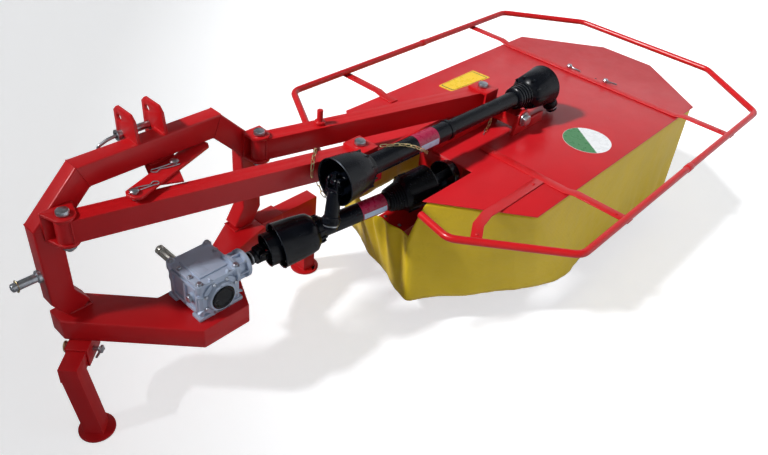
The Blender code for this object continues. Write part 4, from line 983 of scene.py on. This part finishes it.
class MOWER_OT_spare_driveshaft(MowerOperator, bpy.types.Operator):
    """Builds the tractor's driveshaft, laid on the mower for parking"""

    bl_idname = "mower.spare_driveshaft"
    bl_label = "Spare driveshaft"

    def build(self):
        axis = Axis(SPARE_LEFT, SPARE_RIGHT)
        far = axis.length
        rim = far - SPARE_RIM_BACK
        outer = bmesh.new()
        axis.bell(outer, [(0.002, 0.0775), (-0.001, 0.0805), (0.000, 0.0832), (0.003, 0.0828), (0.06, 0.0768),
                          (0.112, 0.069), (0.122, 0.064), (0.128, 0.052), (0.131, 0.0505), (0.144, 0.048),
                          (0.147, 0.044), (0.154, 0.042), (0.157, 0.0368), (0.56, 0.036), (0.56, 0.032),
                          (0.15, 0.032), (0.134, 0.033), (0.122, 0.034), (0.116, 0.056), (0.108, 0.064),
                          (0.06, 0.072)])
        axis.bell(outer, [(0.548, 0.036), (0.548, 0.0385), (0.562, 0.0385), (0.562, 0.032)])
        axis.flutes(outer, 10, (0.104, 0.058, -0.0022), (0.128, 0.07, 0.0022))
        finish_piece("spare_shaft_left_guard", outer, "moulded_plastic", "mower", "spare_shaft_outer")

        inner = bmesh.new()
        collar = [(far + along + step * 0.014, radius + step * 0.0018) for step in range(5)
                  for along, radius in ((-0.226, 0.0445), (-0.218, 0.0445), (-0.217, 0.0405), (-0.213, 0.0405))]
        axis.bell(inner, [(0.54, 0.026), (0.54, 0.0312), (far - 0.232, 0.0312), (far - 0.23, 0.04)] + collar + [
            (far - 0.152, 0.052), (far - 0.144, 0.064), (far - 0.132, 0.07), (far - 0.06, 0.078),
            (rim - 0.003, 0.0828), (rim, 0.0832), (rim + 0.001, 0.0805), (rim - 0.002, 0.0775),
            (far - 0.06, 0.073), (far - 0.126, 0.065), (far - 0.136, 0.056), (far - 0.142, 0.034)])
        axis.flutes(inner, 10, (far - 0.15, 0.058, -0.0022), (far - 0.126, 0.07, 0.0022))
        finish_piece("spare_shaft_right_guard", inner, "moulded_plastic", "mower", "spare_shaft_inner")

        rims = bmesh.new()
        for distance, side in ((0.0, 1), (rim, -1)):
            axis.bell(rims, [(distance + side * along, radius) for along, radius in (
                (-0.0016, 0.08), (-0.002, 0.0822), (-0.0004, 0.0838), (0.0012, 0.0834), (0.0006, 0.08))])
        finish_piece("spare_shaft_guard_rims", rims, "forged_steel", "mower")
        axis.label("spare_shaft_label", 0.372, 0.476, 0.005, 0.0364, "mower")
        self.end_fork(axis, "spare_yoke_left", axis.at(0.002), (-1.225, -0.04, above(-0.02)), -1, axis.at(0.12))
        self.end_fork(axis, "spare_yoke_right", axis.at(far - 0.003), (0.055, -0.08, above(0.0131)), 1,
                      axis.at(far - 0.13))

    def end_fork(self, axis, node, joint, tip, along, seat):
        """The drooping fork at an end of the shaft, its splined hub and its quick-release collar."""
        fork, ring = bmesh.new(), bmesh.new()
        way = axis.way * along
        out, length = (Vector(tip) - joint).normalized(), (Vector(tip) - joint).length
        side = out.cross(way).normalized()
        joint_fork(fork, joint, out, side, 0.052, 0.021)
        joint_fork(fork, joint, -way, axis.level, 0.05, 0.019)
        joint_cross(fork, joint, side, way.cross(side).normalized())
        rod(fork, joint - way * 0.046, seat, 0.018, width=0.001)
        turned(fork, [(0.034, 0), (0.034, 0.0225)] + [(length - back, radius) for back, radius in (
            (0.046, 0.0255), (0.044, 0.0285), (0.04, 0.03), (0.022, 0.03), (0.019, 0.0285), (0.016, 0.024),
            (0.002, 0.0235), (0, 0.022), (0, 0.015), (0.03, 0.014), (0.03, 0))], joint, out, 36)
        ribs(fork, joint, out, side, side.cross(out), 16, (length - 0.04, 0.0285, -0.002),
             (length - 0.022, 0.0312, 0.002), 0.0008)
        finish_piece(node + "_fork", fork, "moulded_plastic", "mower", node)
        lathe(ring, [(length - 0.0155, 0.02), (length - 0.0155, 0.025), (length - 0.012, 0.025),
                     (length - 0.012, 0.02)], joint, out, 36)
        finish_piece(node + "_ring", ring, "clear_zinc", "mower")


# ---------------------------------------------------------------- stands
class MOWER_OT_stands(MowerOperator, bpy.types.Operator):
    """Builds the two parking stands, their sockets and lock pins"""

    bl_idname = "mower.stands"
    bl_label = "Stands"

    def build(self):
        for side in ("left", "right"):
            carry(f"{side}_socket", f"{side}_stand_socket", sizes().edge, "root")
            carry(f"{side}_stand", f"{side}_stand_leg", 0.0045, f"{side}_stand", segments=3)
        self.lock_pin("left", -1.95, 0.34, Vector((0.67559, -0.737277, 0)))
        self.lock_pin("right", -1.135, 0.392, -FORWARD)

    def lock_pin(self, side, x, y, out):
        """A lock pin through a socket: its head, its crossbar, the hook on it and the ring at its end."""
        seat = Vector((x, y, middle_of(f"{side}_socket").z))
        pin, clip = bmesh.new(), bmesh.new()
        rod(pin, seat + out * 0.03, seat + out * 0.066, 0.0072, width=0.001)
        rod(pin, seat - out * 0.03, seat - out * 0.056, 0.0072, width=0.001)
        rod(pin, seat + out * 0.06, seat + out * 0.067, 0.0135, width=0.0015)
        level = out.cross(UP)
        bar = (level * 0.7 + UP * 0.7) * 0.02
        rod(pin, seat + out * 0.062 - bar, seat + out * 0.062 + bar, 0.0055, sides=12)
        hang = [seat + out * 0.056, seat + out * 0.052 - UP * 0.02, seat + out * 0.04 - UP * 0.042]
        sweep(pin, rounded(hang, 0.012), circle(0.0042), level)
        sweep(clip, loop(seat - out * 0.052, level * 0.013, UP * 0.017, 16), circle(0.0046, 8), out, True)
        finish_piece(f"{side}_stand_lock_pin", pin, "clear_zinc", "root")
        finish_piece(f"{side}_stand_lock_clip", clip, "yellow_zinc", "root")


# ---------------------------------------------------------------- cover and skirt
def octagon(half_x, half_y, cut_x, cut_y):
    """The cover's outline, from its right edge round by the front."""
    quarter = [(half_x, half_y - cut_y), (half_x - cut_x, half_y)]
    half = quarter + [(-x, y) for x, y in reversed(quarter)]
    ring = half + [(-x, -y) for x, y in half]
    return ring[-1:] + ring[:-1]


class MOWER_OT_cover(MowerOperator, bpy.types.Operator):
    """Builds the cover's sheet, its labels and pins"""

    bl_idname = "mower.cover"
    bl_label = "Cover"

    def build(self):
        # the cover's finish carries that painted sheen in its colour
        finish_piece("cover_sheet", copied("cover", 0.0022), "cover_enamel", "mower", "cover")
        self.labels()
        self.pins()

    def labels(self):
        """A blank yellow label with a printed border, and a blank round badge, half white and half green, each
        a thin film.
        """
        top = COVER_TOP + 0.0002
        outline = ((-0.158, 0.382), (-0.151, 0.311), (0.108, 0.287), (0.101, 0.384))
        corners = [Vector((x, y, top)) for x, y in outline]
        middle = sum(corners, Vector()) / 4
        label, badge = bmesh.new(), bmesh.new()
        for share, thick, slot in ((1.0, 0.0006, 0), (0.9, 0.0009, 1), (0.86, 0.0011, 0)):
            film(label, [middle + (corner - middle) * share for corner in corners], thick, slot, 0.008)
        finish_piece("cover_label", label, ["sticker_film", "dark_film"], "mower")
        half_turn = math.radians(54)        # the badge's green half starts here
        for radius, thick, share, slot in ((0.1, 0.0006, 1.0, 0), (0.099, 0.0009, 0.5, 1)):
            arc = [half_turn + math.tau * share * step / 64 for step in range(65 if share < 1 else 64)]
            film(badge, [(radius * math.cos(turn), radius * math.sin(turn), 0) for turn in arc], thick, slot,
                 place=Matrix.Translation((-0.032, -0.312, top)))
        finish_piece("cover_badge", badge, ["white_film", "green_film"], "mower")

    def pins(self):
        """Two pins by the right strap, each with its lever lying on the cover, and the drain hole's rim."""
        pins, plug = bmesh.new(), bmesh.new()
        for head, tail in (((0.513, 0.108), (0.52, 0.05)), ((0.516, -0.088), (0.541, -0.136))):
            at = Vector((*head, COVER_TOP))
            turned(pins, [(0, 0), (0, 0.011), (0.008, 0.011), (0.009, 0.013), (0.016, 0.013), (0.02, 0.01),
                          (0.022, 0)], at)
            rod(pins, at + UP * 0.013, (*tail, COVER_TOP + 0.005), 0.0032, sides=12)
        finish_piece("cover_pins", pins, "clear_zinc", "mower")
        rim = [(0, 0.002), (0, 0.006), (0.0015, 0.0055), (0.0015, 0.002)]
        lathe(plug, rim, (0.519, -0.036, COVER_TOP), UP, 24)
        finish_piece("cover_plug", plug, "moulded_plastic", "mower")


class MOWER_OT_skirt(MowerOperator, bpy.types.Operator):
    """Builds the fabric skirt that hangs round the drums"""

    bl_idname = "mower.skirt"
    bl_label = "Skirt"

    HEM = ((0.84, -0.12), (0.84, 0.12), (0.56, 0.455), (-0.655, 0.465), (-0.811, 0.097), (-0.888, -0.148),
           (-0.375, -0.482), (0.73, -0.475))
    HEM_BENDS = (0.12, 0.12, 0.12, 0.12, 0.12, 0.02, 0.2, 0.1)
    TOP_INSET, TOP_BEND, CORNER_STEPS = 0.004, 0.05, 6
    ROWS, STEP = 26, 0.013
    OPEN_X, OPEN_REAR, OPEN_DROP, OPEN_RAMP = -0.735, -0.14, 0.17, 0.04
    GATHER, GATHER_WIDTH = 0.017, 0.078

    def ring(self, corners, bends, parts):
        """One level of the skirt: an arc at each corner, and the side after it in so many parts."""
        corners = [Vector((x, y, 0)) for x, y in corners]
        neighbours = zip(corners[-1:] + corners, corners, corners[1:] + corners[:1], bends)
        arcs = [arc_of(*corner, self.CORNER_STEPS) for corner in neighbours]
        points = []
        for arc, after, count in zip(arcs, arcs[1:] + arcs[:1], parts):
            points += arc[:-1] + [arc[-1].lerp(after[0], part / count) for part in range(count)]
        return points

    def build(self):
        chance = random.Random(7)

        def ripples(count, *ranges):
            """Sine waves of some length, phase and weight."""
            return [tuple(chance.uniform(*ends) for ends in ranges) for _ in range(count)]

        waves = ripples(7, (0.16, 0.6), (0, math.tau), (0.5, 1.0))
        creases = ripples(4, (0.05, 0.12), (0, math.tau), (0.3, 0.8))
        inset, cut = self.TOP_INSET, 0.4 * self.TOP_INSET
        edge = octagon(COVER_HALF_X - inset, COVER_HALF_Y - inset, COVER_CUT_X - cut, COVER_CUT_Y - cut)
        parts = [max(3, round((Vector(last) - Vector(first)).length / self.STEP))
                 for first, last in zip(edge, edge[1:] + edge[:1])]
        top = self.ring(edge, [self.TOP_BEND] * len(edge), parts)
        hem = self.ring(self.HEM, self.HEM_BENDS, parts)
        alongs = [0.0]
        for first, last in zip(hem, hem[1:] + hem[:1]):
            alongs.append(alongs[-1] + (last - first).length)
        count, round_hem = len(hem), alongs[-1]
        low, high = box("skirt")
        shape = bmesh.new()
        bmesh.ops.create_grid(shape, x_segments=count, y_segments=self.ROWS, size=0.5)
        folds = sizes().skirt_folds
        for vert in shape.verts:
            column = round((vert.co.x + 0.5) * count) % count
            down = 0.5 - vert.co.y
            upper, lower, along = top[column], hem[column], alongs[column]
            opened = self.opening(upper)
            start = high.z - opened * (self.OPEN_DROP + high.z - COVER_TOP)
            point = upper.lerp(lower, down)
            point.z = start + (low.z - start) * down
            outward = Vector((lower.x / COVER_HALF_X, lower.y / COVER_HALF_Y, 0)).normalized()
            wave = sum(weight * math.sin(math.tau * along / size + phase)
                       for size, phase, weight in waves) / 3.2
            crease = sum(weight * math.sin(math.tau * along / size + phase + 2.2 * down)
                         for size, phase, weight in creases) / 2
            pucker = math.sin(math.tau * along / self.GATHER_WIDTH + 1.1 * math.sin(math.tau * along / 0.29))
            gather = pucker * opened * self.GATHER * (1 - down) ** 1.3 * min(1, 0.2 + down * 7)
            swell = folds * (wave * down ** 1.3 + 0.16 * crease * down ** 0.7) + gather
            vert.co = point + outward * (swell - 0.002 * down)
        bmesh.ops.remove_doubles(shape, verts=shape.verts[:], dist=1e-5)
        bmesh.ops.recalc_face_normals(shape, faces=shape.faces[:])
        cloth = finish_piece("skirt_fabric", shape, "coated_fabric", "mower", "skirt", neat=math.radians(80))
        wall = cloth.modifiers.new("Thickness", "SOLIDIFY")
        wall.thickness, wall.offset = 0.0016, -1.0

    def opening(self, point):
        """How far a point's top edge is lowered to the tray, from 0 to 1."""
        sideways = min(1, max(0, (self.OPEN_X - point.x) / self.OPEN_RAMP + 0.5))
        rearwards = min(1, max(0, (point.y - self.OPEN_REAR) / self.OPEN_RAMP + 0.5))
        return sideways * rearwards


# ---------------------------------------------------------------- rails and straps
class MOWER_OT_guard_rail(MowerOperator, bpy.types.Operator):
    """Builds the guard rail round the cover, and the straps that hold it"""

    bl_idname = "mower.guard_rail"
    bl_label = "Guard rail"

    LEFT, RIGHT, REAR, FRONT = -1.015, 1.037, -0.706, 0.69
    CORNER_X, CORNER_Y, LONG_CORNER_Y = 0.27, 0.342, 0.46
    BY_RAIL, ON_COVER = 0.0153, 0.0054      # how high the straps' rivets sit

    def build(self):
        z = above(RAIL_RISE)
        left, right, rear, front = self.LEFT, self.RIGHT, self.REAR, self.FRONT
        across, along = self.CORNER_X, self.CORNER_Y
        joint = (0.0, rear)
        halves = (
            ("rear_rail", [(-0.985, -0.222), (left, rear + along), (left + across, rear), joint]),
            ("front_rail", [joint, (right - across, rear), (right, rear + along), (right, front - along),
                            (right - across, front), (left + across, front), (left, front - self.LONG_CORNER_Y),
                            (-0.93, 0.19)]),
        )
        for node, points in halves:
            tube = bmesh.new()
            sweep(tube, rounded([(x, y, z) for x, y in points], RAIL_BEND), circle(RAIL_RADIUS, 20))
            finish_piece(node + "_tube", tube, "red_enamel", "mower", node)
        sleeves, rivets = bmesh.new(), bmesh.new()
        for first, last, y in ((0.04, 0.079, rear), (0.077, 0.104, front)):
            rod(sleeves, (first, y, z), (last, y, z), RAIL_RADIUS + 0.0022, width=0.0012)
        finish_piece("rail_sleeves", sleeves, "red_enamel", "mower")
        for node in ("right_strap", "left_rear_strap", "left_front_strap", "side_strap"):
            carry(node, node + "_bar", 0.0012, "mower")
        by_rail = [(-0.43, -0.66), (-0.908, -0.404), (0.49, -0.66), (0.49, 0.645), (-0.43, 0.645)]
        on_cover = [(-0.43, -0.12), (-0.49, -0.352)]
        for x, y in by_rail + on_cover:
            rise = self.BY_RAIL if (x, y) in by_rail else self.ON_COVER
            turned(rivets, [(-0.001, 0), (-0.001, 0.0072), (0.001, 0.007), (0.0028, 0.005), (0.0034, 0)],
                   (x, y, above(rise)), sides=16)
        finish_piece("strap_rivets", rivets, "weld_metal", "mower")


# ---------------------------------------------------------------- drums and underside
class MOWER_OT_drums(MowerOperator, bpy.types.Operator):
    """Builds the two drums with their shells, skids, ribs and blade bolts, and the gear housing over them"""

    bl_idname = "mower.drums"
    bl_label = "Drums"

    BLADE_TURN = 1.955              # the left drum's first blade at rest

    def build(self):
        carry("gear_beam", "gear_housing", 0.004, "mower", segments=3)
        for side, ahead in (("left", 0.0), ("right", 0.5)):
            body = f"{side}_drum"
            carry(body, f"{side}_drum_shell", 0.0015, body)
            finish_piece(f"{side}_drum_skid_plate", copied(f"{side}_drum_skid", 0.0015), "turned_steel", body,
                         f"{side}_drum_skid")
            middle = Matrix.Translation((*middle_of(f"{side}_drum_skid").xy, 0))
            low, high = box(body)
            bars, bolts = bmesh.new(), bmesh.new()
            for turn in around(4, 0.5):
                block(bars, (0.15, -0.004, low.z + 0.1), (0.17, 0.004, high.z - 0.03), 0.002,
                      middle @ Matrix.Rotation(turn, 4, "Z"))
            for turn in around(2, ahead):
                place = middle @ Matrix.Rotation(self.BLADE_TURN + turn, 4, "Z")
                bolt(bolts, place @ Vector((0.246, 0, low.z + 0.01)), UP, 0.016)
            finish_piece(f"{side}_drum_ribs", bars, "red_enamel", body)
            finish_piece(f"{side}_drum_blade_bolts", bolts, "forged_steel", body)


class MOWER_OT_carrier(MowerOperator, bpy.types.Operator):
    """Builds the beam that carries the mower on its arms, the tilt pivot and the input's tray"""

    bl_idname = "mower.carrier"
    bl_label = "Carrier"

    def build(self):
        for node, name in (("carrier", "carrier_beam"), ("input_tray", "input_tray_plate"),
                           ("tilt_ear", "tilt_pivot_ear")):
            carry(node, name, sizes().edge, "mower")
        low, high = box("tilt_bolt")
        at = (low + high - FORWARD * (high.y - low.y)) / 2
        pin, rivets = bmesh.new(), bmesh.new()
        rod(pin, at + FORWARD * 0.02, (at.x, high.y, at.z), 0.0137, width=0.001)
        bolt(pin, at + FORWARD * 0.022, -FORWARD, 0.026)
        finish_piece("tilt_pivot_bolt", pin, "clear_zinc", "mower", "tilt_bolt")
        low, high = box("input_tray")
        for x, share in ((0.02, 0.25), (0.02, 0.8), (0.18, 0.25)):
            turned(rivets, [(0, 0), (0, 0.0075), (0.002, 0.007), (0.004, 0.0045), (0.0045, 0)],
                   (low.x + x, low.y + (high.y - low.y) * share, low.z + 0.006), sides=16)
        finish_piece("input_tray_rivets", rivets, "clear_zinc", "mower")


# ---------------------------------------------------------------- chains
def smooth_route(route, step):
    """Points at even steps along a smooth curve through a route's points."""
    route = [Vector(point) for point in route]
    ends = [route[0] * 2 - route[1]] + route + [route[-1] * 2 - route[-2]]
    fine = [route[0]]
    for before, first, last, after in zip(ends, ends[1:], ends[2:], ends[3:]):
        slope, bow = last - before, 2 * before - 5 * first + 4 * last - after
        twist = 3 * first - before - 3 * last + after
        for t in (part / 12 for part in range(1, 13)):
            fine.append(0.5 * (2 * first + slope * t + bow * t ** 2 + twist * t ** 3))
    result, spare = [fine[0]], 0.0
    for first, last in zip(fine, fine[1:]):
        length = (last - first).length
        while spare + length >= step:
            first = first.lerp(last, (step - spare) / length)
            result.append(first)
            length = (last - first).length
            spare = 0.0
        spare += length
    return result


class MOWER_OT_chains(MowerOperator, bpy.types.Operator):
    """Builds the three keeper chains with their hooks"""

    bl_idname = "mower.chains"
    bl_label = "Chains"

    # each route's points: x, y, and the height over the arm's top, or under the arm
    OVER_ARM = ((-1.202, 0.08, -0.036), (-1.198, 0.085, -0.012), (-1.19, 0.091, 0.0045),
                (-1.179, 0.104, 0.0057), (-1.15, 0.128, 0.0056), (-1.126, 0.145, 0.0064),
                (-1.12, 0.155, 0.0045), (-1.118, 0.1585, -0.005), (-1.114, 0.1575, -0.032))
    UNDER_ARM = ((-1.108, 0.154, -0.03), (-1.103, 0.136, -0.085), (-1.1, 0.108, -0.106))
    # turned over the spare shaft: x, degrees from upright, and distance from the shaft's line
    OVER_SHAFT = ((-0.95, -32, 0.047), (-0.928, -10, 0.043), (-0.892, 14, 0.0418), (-0.858, 40, 0.0418),
                  (-0.828, 66, 0.0418), (-0.798, 94, 0.0418), (-0.772, 124, 0.043), (-0.748, 155, 0.044),
                  (-0.728, 184, 0.052), (-0.714, 212, 0.07))
    # x, y, and the height over the cover
    OVER_COVER = ((-0.255, 0.02, 0.07), (-0.262, 0.019, 0.045), (-0.268, 0.015, 0.016), (-0.285, 0.01, 0.0062),
                  (-0.31, 0.003, 0.0056), (-0.336, -0.009, 0.0056))

    def build(self):
        self.chain("arm_chain", "near_arm", [(x, y, ARM_TOP + rise) for x, y, rise in self.OVER_ARM]
                   + [(x, y, ARM_BOTTOM + rise) for x, y, rise in self.UNDER_ARM])
        fork = []
        for x, degrees, reach in self.OVER_SHAFT:
            middle = SPARE_LEFT.lerp(SPARE_RIGHT, (x - SPARE_LEFT.x) / (SPARE_RIGHT.x - SPARE_LEFT.x))
            fork.append(middle + spoke(UP, -FORWARD, math.radians(degrees)) * reach)
        self.chain("fork_chain", "mower", fork)
        self.chain("hook_chain", "mower", [(x, y, above(rise)) for x, y, rise in self.OVER_COVER])

    def link(self):
        """One link: a ring of round wire with straight sides."""
        half, bend = CHAIN_LINK / 2 - CHAIN_WIRE / 2, CHAIN_WIDTH / 2 - CHAIN_WIRE / 2
        turns = [math.radians(-90 + 45 * step) for step in range(5)]
        ring = [Vector((0, side * bend * math.sin(turn), side * (half - bend + bend * math.cos(turn))))
                for side in (1, -1) for turn in turns]
        shape = bmesh.new()
        sweep(shape, ring, circle(CHAIN_WIRE / 2, 5), RIGHT, True)
        return shape

    def chain(self, node, body, route):
        """A chain along a route: each link turned a quarter from the last, and a hook at its end."""
        step = CHAIN_LINK - 2 * CHAIN_WIRE
        path = smooth_route(route, step)
        piece, hook = bmesh.new(), bmesh.new()
        side = Vector((0.2, 1, 0.3))
        for index, (first, last) in enumerate(zip(path, path[1:])):
            way = (last - first).normalized()
            side = (side - way * side.dot(way)).normalized()
            quarter = side if index % 2 else way.cross(side)
            join(piece, self.link(), basis(quarter, way.cross(quarter), way, (first + last) / 2))
        chain = finish_piece(node + "_links", piece, "yellow_zinc", body, node)
        side = side.cross(way).normalized()
        curl = [path[-1] + way * along + side * out for along, out in (
            (-0.004, 0), (0.004, 0.006), (0.012, 0.002), (0.018, -0.007), (0.026, -0.006), (0.029, 0.002))]
        sweep(hook, rounded(curl, 0.005, 4), circle(0.0018, 8), side.cross(way))
        hook_piece = finish_piece(node + "_hook", hook, "clear_zinc", body)


# ---------------------------------------------------------------- stage
class MOWER_OT_stage(MowerOperator, bpy.types.Operator):
    """Sets the camera, the floor and backdrop, and the lights"""

    bl_idname = "mower.stage"
    bl_label = "Stage"

    def build(self):
        self.camera()
        self.floor()
        self.lamps()
        bpy.context.scene.view_settings.view_transform = "Standard"

    def camera(self):
        """The camera stands behind the machine's left, above it."""
        heading, down, roll = math.radians(39.09), math.radians(37.54), math.radians(6.49)
        level = spoke(RIGHT, FORWARD, heading)
        forward, right = spoke(level, -UP, down), level.cross(UP)
        up = right.cross(forward)
        right, up = spoke(right, up, roll), spoke(up, -right, roll)
        data = bpy.data.cameras.new("camera")
        data.lens, data.sensor_width = 34.11, 36.0
        data.clip_end = 60
        camera = bpy.data.objects.new("camera", data)
        camera.matrix_world = basis(right, up, -forward, DATUM + Vector((-2.58075, -1.368, 2.094)))
        bpy.context.scene.collection.objects.link(camera)
        bpy.context.scene.camera = camera

    def floor(self):
        """A pale floor that curves up into a backdrop all round."""
        shape = bmesh.new()
        bmesh.ops.create_circle(shape, cap_ends=True, segments=96, radius=9.0)
        rim = [edge for edge in shape.edges if edge.is_boundary]
        for rise, reach in ((0.15, 1.06), (0.6, 1.05), (1.4, 1.03), (3.0, 1.01), (4.5, 1.0)):
            made = bmesh.ops.extrude_edge_only(shape, edges=rim)["geom"]
            rim, moved = only(bmesh.types.BMEdge, made), only(bmesh.types.BMVert, made)
            bmesh.ops.translate(shape, verts=moved, vec=(0, 0, rise))
            bmesh.ops.scale(shape, verts=moved, vec=(reach, reach, 1))
        bmesh.ops.translate(shape, verts=shape.verts[:], vec=(0, 0, -0.0005))
        mesh = bpy.data.meshes.new("studio_floor")
        shape.to_mesh(mesh)
        shape.free()
        floor = bpy.data.objects.new("studio_floor", mesh)
        mesh.materials.append(backdrop_paint("studio_paint"))
        mesh.shade_smooth()
        bpy.context.scene.collection.objects.link(floor)

    def lamps(self):
        """A soft sun over the machine's left front, a weak lamp by the camera, and light from all round."""
        target = Vector((-0.2, 0.0, 0.4))
        table = (               # name, kind, place, strength, its size or angle
            ("key_lamp", "SUN", Vector((-3.3, 1.7, 3.9)), sizes().key_light, math.radians(6)),
            ("fill_lamp", "AREA", Vector((-2.8, -3.4, 2.6)), sizes().fill_light, 3.0),
        )
        for name, kind, at, power, size in table:
            data = bpy.data.lights.new(name, kind)
            data.energy = power
            setattr(data, "angle" if kind == "SUN" else "size", size)
            lamp = bpy.data.objects.new(name, data)
            turn = (target - at).to_track_quat("-Z", "Y").to_matrix().to_4x4()
            lamp.matrix_world = Matrix.Translation(at) @ turn
            bpy.context.scene.collection.objects.link(lamp)
        world = bpy.data.worlds.new("studio")
        world.use_nodes = True
        tree = world.node_tree
        tree.nodes.clear()
        seen = add(tree, "LightPath").outputs["Is Camera Ray"]
        strength = add(tree, "Mix", {"data_type": "FLOAT", 2: sizes().sky_light, 3: 1.0}, {0: seen})
        light = add(tree, "Background", {"Color": (1, 1, 1, 1)}, {"Strength": strength.outputs[0]})
        add(tree, "OutputWorld", links={"Surface": light.outputs[0]})
        bpy.context.scene.world = world


# ---------------------------------------------------------------- panel and registration
BUILDERS = (MOWER_OT_stage, MOWER_OT_chains, MOWER_OT_headstock, MOWER_OT_arms, MOWER_OT_gearbox,
            MOWER_OT_driveshaft, MOWER_OT_spare_driveshaft, MOWER_OT_stands, MOWER_OT_cover, MOWER_OT_skirt,
            MOWER_OT_guard_rail, MOWER_OT_drums, MOWER_OT_carrier)


class MOWER_PT_panel(bpy.types.Panel):
    """Lists the mower's builders and settings in the sidebar"""

    bl_idname = "MOWER_PT_panel"
    bl_label = "Drum Mower"
    bl_space_type = "VIEW_3D"
    bl_region_type = "UI"
    bl_category = "Mower"

    def draw(self, context):
        layout = self.layout
        for group in (context.scene.mower_sizes, context.scene.mower_colours):
            column = layout.column()
            for name in group.__annotations__:
                column.prop(group, name)
        column = layout.column()
        for builder in BUILDERS:
            column.operator(builder.bl_idname)


CLASSES = (MowerSizes, MowerColours, *BUILDERS, MOWER_PT_panel)


def register():
    for item in CLASSES:
        bpy.utils.register_class(item)
    bpy.types.Scene.mower_sizes = bpy.props.PointerProperty(type=MowerSizes)
    bpy.types.Scene.mower_colours = bpy.props.PointerProperty(type=MowerColours)


def unregister():
    del bpy.types.Scene.mower_colours
    del bpy.types.Scene.mower_sizes
    for item in reversed(CLASSES):
        bpy.utils.unregister_class(item)


def main():
    register()
    for builder in BUILDERS:
        group, name = builder.bl_idname.split(".")
        getattr(getattr(bpy.ops, group), name)()


if __name__ == "__main__":
    main()
